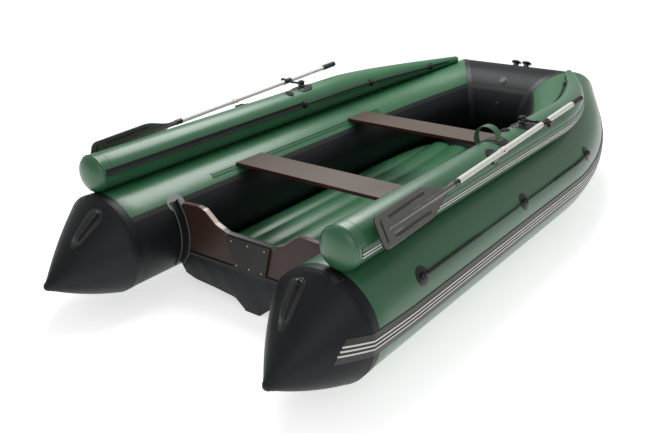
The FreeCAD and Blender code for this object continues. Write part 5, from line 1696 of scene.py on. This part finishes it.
@dataclass
class Fittings:
    """Valves, bow knobs and the webbing loop."""

    side_valve: tuple[float, float] = (1.402, 189.0)
    fender_valve: tuple[float, float] = (1.437, 107.0)
    front_valve: tuple[float, float] = (0.010, 134.0)
    low_valve: tuple[float, float] = (0.010, 174.0)
    flange: Shape = mm(26, -1, 26, 3, 24.5, 4.5, 19, 4.9, 18, 3, 16.5, 3)
    cap: Shape = mm(16, 2, 16, 8.2, 15, 9.6, 11, 9.8, 10, 8.6, 1, 8.6)
    low_cap: Shape = mm(16, 0, 16, 3, 14.5, 4.6, 10, 4.6, 9, 3.4, 1, 3.4)
    knob_way: float = 0.038
    knob_angle: float = 60.0
    knob: Shape = mm(30, -3, 30, 2, 28, 3.5, 21, 5, 19, 8, 18, 22.5, 21, 26.2, 33.5, 28.5, 34.5, 31,
                     32.5, 36.5, 26, 41, 14, 43.8, 1, 44.6)
    strap_station: float = 1.275
    strap_top: float = 0.0028
    strap: Shape = mirror(mm(25, 0, 25, 2.24, 23, 2.8, 0, 2.8))
    strap_rise: float = 0.062
    strap_angle: float = 111.5
    strap_span: float = 68.0
    strap_foot: float = 9.0
    strap_seat: float = 0.0036
    patch_angles: tuple[float, float] = (53.0, 155.0)
    patch_half: float = 0.047
    patch_corner: float = 0.022
    patch: Shape = mirror(mm(0, 0.3, 47, 0.3, 47, 2.2, 45.8, 3.1, 0, 3.1))
    dash: tuple[float, float, float] = (0.0032, 0.0009, 0.0007)

    def build(self) -> None:
        """Make the valves, the knobs and the loop."""
        places = [(TubeSkin(side), self.side_valve) for side in Side]
        places += [(FenderSkin(side), self.fender_valve) for side in Side]
        valves = [Bench.move(self.valve(), skin.stand(*spot, 0.0006))
                  for skin, spot in [*places, (FRONT, self.front_valve)]]
        low = Bench.move(Bench.turned("low", self.low_cap, 32), FRONT.stand(*self.low_valve, 0.0004))
        fit(Bench.join("valve_set", [*valves, low]), NYLON, "fitting", "valves")
        knobs = [Bench.move(Bench.turned("knob", self.knob),
                            FRONT.stand(self.knob_way * side.value, self.knob_angle)) for side in Side]
        fit(Bench.join("bow_knobs", knobs), NYLON, "fitting", "bow_fitting")
        self.loop()
        self.loop_patch()
        self.stitches()

    def valve(self) -> Piece:
        """Valve with a flange and a lobed cap, upright on the origin.

        Returns:
            The valve.
        """
        flange, cap = Bench.turned("flange", self.flange), Bench.turned("cap", self.cap, 48)
        Bench.lobed(cap, 8, 0.09, 0.0135, 0.0)
        return Bench.join("valve", [flange, cap])

    def path(self) -> Shape:
        """Outline of the loop in the fender's section, as distances round and out of its middle.

        Returns:
            Points from the outboard foot's end to the inboard one's.
        """
        seat = FENDER.radius + self.strap_seat
        half = radians(self.strap_span / 2.0)
        out, foot = seat * sin(half), seat * cos(half)
        rise = seat + self.strap_rise - foot
        radius = (out ** 2 + rise ** 2) / (2.0 * rise)
        reach = asin(min(out / radius, 1.0))
        if rise > radius:
            reach = pi - reach
        feet = [(seat * sin(turn), seat * cos(turn))
                for turn in span(-half - radians(self.strap_foot), -half, 4)[:-1]]
        bow = [(radius * sin(turn), foot + rise - radius + radius * cos(turn))
               for turn in span(-reach, reach, 40)]
        return [*feet, *bow, *((-across, up) for across, up in reversed(feet))]

    def loop(self) -> None:
        """Webbing loop over the starboard fender."""
        middle = LOOP_SKIN.axis(self.strap_station)
        radial, around = (COURSE.ray(self.strap_station, self.strap_angle + turn) for turn in (0.0, 90.0))
        points = [middle + around * across + radial * rise for across, rise in self.path()]
        ahead = Vector((0.0, 1.0, 0.0))
        normals = [ahead.cross(after - before).normalized() for before, after in beside(points)]
        fit(Bench.sweep("strap_loop", range(len(points)), self.strap, lambda index, across, lift:
                        points[index] + ahead * across + normals[index] * lift),
            WEBBING, "green", "loop_strap", angle=45.0)

    def loop_patch(self) -> None:
        """Patch with rounded corners under the loop."""
        (low, high), half, corner = self.patch_angles, self.patch_half, self.patch_corner

        def place(angle: float, across: float, lift: float) -> Vector:
            """Point of the patch, drawn in at its corners."""
            near = max(corner - radians(min(angle - low, high - angle)) * FENDER.radius, 0.0)
            kept = half - corner + sqrt(max(corner ** 2 - near ** 2, 0.0))
            return LOOP_SKIN.point(self.strap_station + kept * across / half, angle, lift)

        fit(Bench.sweep("strap_patch", span(low, high, 40), self.patch, place), RUBBER, "black", "strap_base",
            angle=45.0)

    def stitches(self) -> None:
        """Thread of the box stitching on both feet of the loop."""
        angles = [self.strap_angle + way * (self.strap_span / 2.0 + foot)
                  for way in (-1.0, 1.0) for foot in (1.2, self.strap_foot - 1.2)]
        dashes = [Bench.move(Bench.block("dash", self.dash, 0.0002), LOOP_SKIN.stand(
            self.strap_station + across, angle, self.strap_seat + self.strap_top))
                  for angle in angles for across in span(-0.020, 0.020, 8)]
        fit(Bench.join("strap_stitches", dashes), THREAD, "green")


@dataclass
class Oar:
    """Oar: blade with slots and a spine, collars, sleeve with buttons, and grip."""

    side: Side
    lock_out: float = 0.8151
    lock_station: float = 1.581
    lock_height: float = 0.6774
    slope: float = 2.46
    lean: float = 24.0
    outboard: float = 0.8703
    inboard: float = 0.351
    sleeve: float = 0.461
    long: float = 0.583
    neck: float = 0.014
    half: float = 0.067
    neck_long: float = 0.070
    shoulder: float = 0.200
    corner: float = 0.028
    sheet: float = 0.0034
    spine_tip: float = 0.0053
    spine_end: float = 0.527
    slot_start: float = 0.245
    slot_end: float = 0.500
    slot_at: float = 0.040
    slot_half: float = 0.0065
    slot_deep: float = 0.0021
    slot_drift: float = 0.10
    hatch_high: float = 0.0009
    hatch_step: float = 0.010
    bar_at: float = 0.552
    bar_half: float = 0.042
    bar_wide: float = 0.0055
    bar_deep: float = 0.0020
    rim_wide: float = 0.0035
    rim_high: float = 0.0008
    columns: tuple[float, ...] = (0.04, 0.08, 0.12, 0.16, 0.20, 0.30, 0.42, 0.48, 0.50, 0.52, 0.66, 0.68,
                                  0.70, 0.80, 0.90, 0.945, 0.955, 0.98, 1.0)
    button: Shape = mm(4.2, 0, 4.2, 3.8, 3, 5, 0.6, 5.4)
    button_out: float = 0.0135
    groove_start: float = 0.010
    groove_step: float = 0.0095
    grooves: int = 11
    grip_start: Shape = mm(14.5, 0, 16, 1.5, 16.5, 4)
    grip_groove: Shape = mm(16.5, 0, 15.5, 1.5, 15.5, 3, 16.5, 4.5)
    grip_end: Shape = mm(16.5, 118, 15.8, 122.5, 13, 125.2, 7, 125.8, 1, 126)

    @property
    def placed(self) -> Matrix:
        """Frame of the oar at its oarlock: aft along the shaft, up the blade, out of its face.

        Returns:
            The frame.
        """
        slope = Matrix.Rotation(radians(self.slope), 3, "X")
        lean = Matrix.Rotation(radians(-self.lean * self.side.value), 3, "Y")
        aft = slope @ Vector((0.0, -1.0, 0.0))
        up = slope @ lean @ Vector((0.0, 0.0, 1.0))
        placed = Matrix((aft, up, aft.cross(up))).transposed().to_4x4()
        placed.translation = row(self.lock_out * self.side.value, self.lock_station, self.lock_height)
        return placed

    def build(self) -> None:
        """Make the oar's details."""
        self.blade()
        self.sleeves()
        self.grip()

    def edge(self, aft: float) -> float:
        """Half width of the blade at a distance from its neck.

        Args:
            aft: Distance from the neck.

        Returns:
            The half width.
        """
        if aft <= self.neck_long + self.shoulder:
            share = max(aft - self.neck_long, 0.0) / self.shoulder
            return self.neck + (self.half - self.neck) * share * share * (3.0 - 2.0 * share)
        into = max(aft - (self.long - self.corner), 0.0)
        return self.half - self.corner + sqrt(max(self.corner ** 2 - into ** 2, 0.0))

    def in_slot(self, aft: float, across: float) -> bool:
        """Whether a place on the blade is in one of its two slots."""
        drift = self.slot_at * (1.0 - self.slot_drift * (aft - self.slot_start) / self.long)
        return self.slot_start < aft < self.slot_end and abs(abs(across) - drift) < self.slot_half

    def relief(self, aft: float, across: float) -> float:
        """Height of the blade's face over its middle plane.

        Args:
            aft: Distance from the neck.
            across: Distance from the spine.

        Returns:
            The height.
        """
        lift = self.sheet
        if self.in_slot(aft, across):
            lift += (self.hatch_high if sin(aft * TAU / self.hatch_step) > 0.0 else 0.0) - self.slot_deep
        if abs(aft - self.bar_at) < self.bar_wide and abs(across) < self.bar_half:
            lift -= self.bar_deep
        if abs(across) > self.edge(aft) - self.rim_wide:
            lift += self.rim_high
        radius = self.neck + (self.spine_tip - self.neck) * min(aft / self.spine_end, 1.0)
        if aft < self.spine_end and abs(across) < radius:
            lift = max(lift, sqrt(radius ** 2 - across ** 2))
        return lift

    def blade(self) -> None:
        """Blade with a spine, hatched slots and an end bar on both faces."""
        ways = sorted([
            0.0, *span(0.01, self.slot_start - 0.001, 24),
            *span(self.slot_start + 0.001, self.slot_end - 0.001, 102),
            *span(self.slot_end + 0.001, self.spine_end, 6), self.spine_end + 0.0005,
            *(self.bar_at + away for away in (-0.0056, -0.0054, 0.0054, 0.0056)),
            *(self.long - self.corner * (1.0 - sin(angle)) for angle in span(0.1, pi / 2.0, 10))])
        shares = [*(-share for share in reversed(self.columns)), 0.0, *self.columns]
        ring = [(share, 1.0) for share in shares] + [(share, -1.0) for share in reversed(shares)]
        ring.append(ring[0])
        placed, tag = self.placed, self.side.tag
        back = placed.inverted()

        def place(index: int, turn: int) -> Vector:
            """Point of the blade, thinner at its very edge."""
            aft, (share, face) = ways[index], ring[turn]
            across = share * self.edge(aft)
            thin = 0.55 if abs(share) > 0.999 else 1.0
            return placed @ Vector((self.outboard + aft, across, face * self.relief(aft, across) * thin))

        # Faces in the slots and the end bar get painted shade; faces on the rim get the same darker colour.
        def is_dark(face: Face) -> bool:
            """Whether a face is in a slot or in the bar, or on the rim."""
            spot = back @ face.center
            aft, across = spot.x - self.outboard, abs(spot.y)
            in_bar = abs(aft - self.bar_at) < self.bar_wide + 0.0001 and across < self.bar_half
            on_rim = across > self.edge(aft) - 0.0018 or aft > self.long - 0.0015
            return self.in_slot(aft, across) or in_bar or on_rim

        fit(Bench.net(f"blade_{tag}", range(len(ways)), range(len(ring)), place,
                      lambda index, turn: (ways[index], ring[turn][0])),
            BLADE, "blade", f"oar_blade_{tag}", body=f"oar_{tag}", angle=28.0, other=BLADE_DARK, where=is_dark)

    def sleeves(self) -> None:
        """Collars at the oarlock and over the joint of the shaft, with spring buttons."""
        collars = [self.collar(0.0, 0.064, 0.0169), self.collar(self.outboard + 0.020, 0.040, 0.0152)]
        sleeves = [self.collar(self.sleeve, 0.046, 0.0169)]
        buttons, turned = [], Matrix.Rotation(pi * (1.0 + self.side.value) / 2.0, 4, "X")
        for aft in (self.sleeve + 0.010, self.outboard + 0.010):
            turned.translation = Vector((aft, 0.0, -self.button_out * self.side.value))
            buttons.append(Bench.move(Bench.turned("button", self.button, 16), turned))
        for name, parts, finish, slot, nodes in (
                ("collars", collars, NYLON, "fitting", (f"oar_collars_{self.side.tag}",)),
                ("sleeve", sleeves, SHAFT, "shaft", ()), ("buttons", buttons, NYLON, "fitting", ())):
            fit(Bench.move(Bench.join(f"{name}_{self.side.tag}", parts), self.placed), finish, slot, *nodes,
                body=f"oar_{self.side.tag}", angle=35.0, turn_out=True)

    @staticmethod
    def collar(middle: float, long: float, radius: float) -> Piece:
        """Collar round the shaft, with raised borders.

        Args:
            middle: Its middle, aft of the oarlock.
            long: Its length.
            radius: Its outer radius.

        Returns:
            The collar, in the oar's frame.
        """
        thin = radius - 0.0009
        right = [(long / 2.0 - away, reach) for away, reach in (
            (0.0, 0.0141), (0.0, thin), (0.002, radius), (0.007, radius), (0.009, thin))]
        return Bench.sweep("collar", span(0.0, TAU, 40), mirror(right), lambda turn, along, reach: Vector(
            (middle + along, reach * cos(turn), reach * sin(turn))))

    def grip(self) -> None:
        """Ribbed grip with a rounded end."""
        tag = self.side.tag
        grooves = [(radius, self.groove_start + self.groove_step * index + up)
                   for index in range(self.grooves) for radius, up in self.grip_groove]
        obj = Bench.turned(f"grip_{tag}", [*self.grip_start, *grooves, *self.grip_end], 28)
        turned = Matrix.Rotation(-pi / 2.0, 4, "Y")
        turned.translation = Vector((-self.inboard - GLUE, 0.0, 0.0))
        fit(Bench.move(obj, self.placed @ turned), RUBBER, "fitting", f"oar_grip_{tag}", body=f"oar_{tag}")


@dataclass
class Oarlocks:
    """Oarlocks: a diamond pad with an upright pin, and the turning hub with its arm and lobed knob."""

    station: float = 1.581
    pad_stretch: float = 0.030
    pad_power: float = 1.45
    pad_core: float = 0.033
    rim_stretch: float = 0.012
    arm_lift: float = 0.0224
    knob_out: float = 0.132
    pad: Shape = mm(52, -1, 52, 2.4, 50, 3.6, 44, 3.9, 33, 4.2, 30, 5.5, 12, 6.2, 1, 6.2)
    rim: Shape = mm(30, 4, 30, 6.6, 28.8, 7.2, 26.2, 7.2, 25, 6.2, 25, 5)
    pin: Shape = mm(8, 4, 8, 37.2, 12.8, 37.2, 14, 38.4, 14, 40, 12.2, 41.4, 7.5, 41.4, 6.8, 40.2, 1, 40.2)
    hub: Shape = mm(18.8, 7.8, 20, 9.2, 20, 14, 17.2, 16.5, 16.5, 22.5, 17.2, 29, 19.6, 31.2, 19.6, 35.2,
                    18.2, 36.6, 12, 36.6)
    arm: Shape = mm(10, 12, 10.5, 18, 8.8, 27, 6.6, 36, 6.6, 62, 8.8, 66, 8.8, 76, 6.6, 80, 6.6, 133)
    knob: Shape = mm(11, -0.5, 16, 1, 17, 4, 17, 15.5, 15.5, 19, 10, 19.8, 8.5, 18, 1, 18)

    def build(self) -> None:
        """Make both oarlocks."""
        for skin in map(FenderSkin, Side):
            tag, stand = skin.side.tag, skin.stand(self.station, 90.0)
            pad = self.diamond()
            rim = Bench.turned(f"lock_rim_{tag}", self.rim)
            Bench.lengthen(rim, self.rim_stretch)
            for piece in (pad, rim):
                skin.bend(piece, self.station, 90.0)
            fit(rim, RUBBER, "fitting")
            pin = Bench.move(Bench.turned("pin", self.pin, 32), stand)
            fit(Bench.join(f"lock_pad_{tag}", [pad, pin]), NYLON, "fitting", f"oarlock_pad_{tag}", angle=35.0,
                turn_out=True)
            self.lock(skin.side, stand)

    def diamond(self) -> Piece:
        """Pad of a rounded diamond's outline, modelled flat.

        Returns:
            The pad.
        """
        pad = Bench.turned("pad", self.pad, 64)
        for vertex in pad.data.vertices:
            x, y, _ = vertex.co
            reach, power = hypot(x, y), self.pad_power
            if reach > self.pad_core:
                share = (abs(x / reach) ** power + abs(y / reach) ** power) ** (-1.0 / power)
                vertex.co.x, vertex.co.y = x * share, y * share
        Bench.lengthen(pad, self.pad_stretch)
        return pad

    def lock(self, side: Side, stand: Matrix) -> None:
        """Hub, arm and knob of one oarlock.

        Args:
            side: Side of the boat.
            stand: Frame of the pad's middle.
        """
        hub = Bench.move(Bench.turned("hub", self.hub), stand)
        arm = Bench.turned("arm", self.arm, 24)
        knob = Bench.turned("knob", self.knob, 60)
        Bench.lobed(knob, 5, 0.24, 0.0120, -1.0)
        Bench.move(knob, Matrix.Translation((0.0, 0.0, self.knob_out)))
        turned = Matrix.Rotation(pi / 2.0 * side.value, 4, "Y")
        turned.translation = stand.translation + Vector((0.0, 0.0, self.arm_lift))
        obj = Bench.join(f"lock_{side.tag}", [hub, *(Bench.move(piece, turned) for piece in (arm, knob))])
        fit(obj, NYLON, "fitting", f"oarlock_{side.tag}", body=f"oarlock_{side.tag}", angle=35.0, turn_out=True)


@dataclass
class Seams:
    """Bands round the fenders' caps and the cones' tips, and along the bottom's edges."""

    caps: tuple[tuple[float, float, float], ...] = ((0.0475, 0.010, 0.0011), (0.094, 0.004, 0.0006))
    tip_way: float = -0.306
    tip: Shape = Bench.band(0.022, 0.0016, 2)
    bottom_start: float = 0.30
    bottom_angle: float = 228.5
    bottom: Shape = Bench.band(0.036, 0.0012)

    def build(self) -> None:
        """Make the bands."""
        ways = chain((self.bottom_start, COURSE.straight, 14), (COURSE.straight, COURSE.bend_end, 24))
        for side in Side:
            tube, fender = TubeSkin(side), FenderSkin(side)
            caps = [Bench.hoop("cap_seam", fender, way, Bench.band(wide, thick, 2), 72)
                    for way, wide, thick in self.caps]
            fit(Bench.join(f"fender_seams_{side.tag}", caps), GREEN_CLOTH, "green", angle=38.0)
            fit(Bench.hoop(f"cone_tip_{side.tag}", tube, self.tip_way, self.tip, 48), BLACK_CLOTH, "black",
                angle=38.0)
            fit(Bench.sweep(f"bottom_seam_{side.tag}", ways, self.bottom, lambda way, across, lift: tube.point(
                way, self.bottom_angle + COURSE.arc(across), lift)), TAPE, "black", angle=38.0)


# ---- studio


@dataclass
class Studio:
    """Camera, plain pale floor and soft light."""

    eye: tuple[float, float, float] = (2.2376, -3.4867, 1.8377)
    yaw: float = 37.655
    pitch: float = 22.868
    roll: float = -1.198
    lens: float = 43.86
    lamps: tuple[tuple[str, tuple[float, float, float], float], ...] = (
        ("top", (-0.9, 0.9, 3.4), 112.0), ("stern", (2.6, -4.0, 2.6), 24.0))
    around: float = 0.42
    glow: float = 0.61
    reach: float = 380.0

    def build(self) -> None:
        """Make the camera, the floor and the lights."""
        self.camera()
        self.floor()
        self.lights()
        self.world()

    def camera(self) -> None:
        """Camera at the photograph's place and angle."""
        yaw, pitch, roll = (radians(angle) for angle in (self.yaw, self.pitch, self.roll))
        ahead = Vector((-sin(yaw) * cos(pitch), cos(yaw) * cos(pitch),
                        -sin(pitch)))
        right = Vector((cos(yaw), sin(yaw), 0.0))
        up = right.cross(ahead)
        turned = Matrix((right * cos(roll) + up * sin(roll),
                         up * cos(roll) - right * sin(roll), -ahead)).transposed().to_4x4()
        turned.translation = Vector(self.eye)
        data = bpy.data.cameras.new("camera")
        data.lens, data.sensor_width, data.clip_end = self.lens, 36.0, 200.0
        eye = bpy.data.objects.new("camera", data)
        eye.matrix_world = turned
        bpy.context.scene.collection.objects.link(eye)
        bpy.context.scene.camera = eye

    def floor(self) -> None:
        """Plain pale floor, which the camera sees as white and which keeps the shadow."""
        floor = Bench.start("studio_floor", bpy.ops.mesh.primitive_grid_add, x_subdivisions=4,
                            y_subdivisions=4, size=self.reach)
        material = bpy.data.materials.new("studio_floor")
        material.use_nodes = True
        tree = Tree(material.node_tree)
        seen = tree.add("ShaderNodeLightPath").outputs
        share = tree.maths("MAXIMUM", seen["Is Camera Ray"], seen["Is Glossy Ray"])
        for label, value in {
                "Base Color": (0.93, 0.93, 0.93, 1.0),
                "Roughness": 0.9,
                "Emission Strength": 1.0,
                "Emission Color": tree.mix(share, (0.0, 0.0, 0.0, 1.0), (*[self.glow] * 3, 1.0))}.items():
            tree.feed(material.node_tree.nodes["Principled BSDF"].inputs[label], value)
        floor.data.materials.append(material)

    def lights(self) -> None:
        """Large soft lamps over the boat."""
        for name, spot, power in self.lamps:
            lamp = bpy.data.lights.new(name, "AREA")
            lamp.shape, lamp.size, lamp.energy = "DISK", 3.0, power
            holder = bpy.data.objects.new(name, lamp)
            bpy.context.scene.collection.objects.link(holder)
            holder.location = spot
            holder.rotation_euler = (Vector((0.0, 0.0, 0.3)) - Vector(spot)).to_track_quat("-Z", "Y").to_euler()

    def world(self) -> None:
        """White surroundings for the camera, softer ones for gloss and for the light."""
        world = bpy.data.worlds.new("studio")
        bpy.context.scene.world = world
        world.use_nodes = True
        tree = Tree(world.node_tree)
        seen = tree.add("ShaderNodeLightPath").outputs["Is Camera Ray"]
        background = world.node_tree.nodes["Background"].inputs
        tree.feed(background["Strength"], tree.maths("MULTIPLY_ADD", seen, 1.0 - self.around, self.around))
        tree.feed(background["Color"], (1.0, 1.0, 1.0, 1.0))
        bpy.context.scene.view_settings.view_transform = "Standard"


CARRIED = {
    "transom_profile_starboard": RUBBER,
    "transom_profile_port": RUBBER,
    "oar_shaft_starboard": SHAFT,
    "oar_shaft_port": SHAFT,
    "oar_holders": NYLON,
    "corner_patches": PALE_PATCH,
}


def main() -> None:
    """Build every piece of the boat and the studio round it."""
    logging.basicConfig(level=logging.INFO, format="%(message)s")
    for part in (AirTubes(), Fenders(), Strakes(), Seams(), HullBottom(), FloorDeck(), Transom(), Seats(),
                 CarryHandles(), Lines(), Fittings(), Oarlocks(), *map(Oar, Side)):
        log.info("%s", type(part).__name__)
        part.build()
    for node, finish in CARRIED.items():
        dress(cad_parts[node], finish)
    Studio().build()


if __name__ == "__main__":
    main()
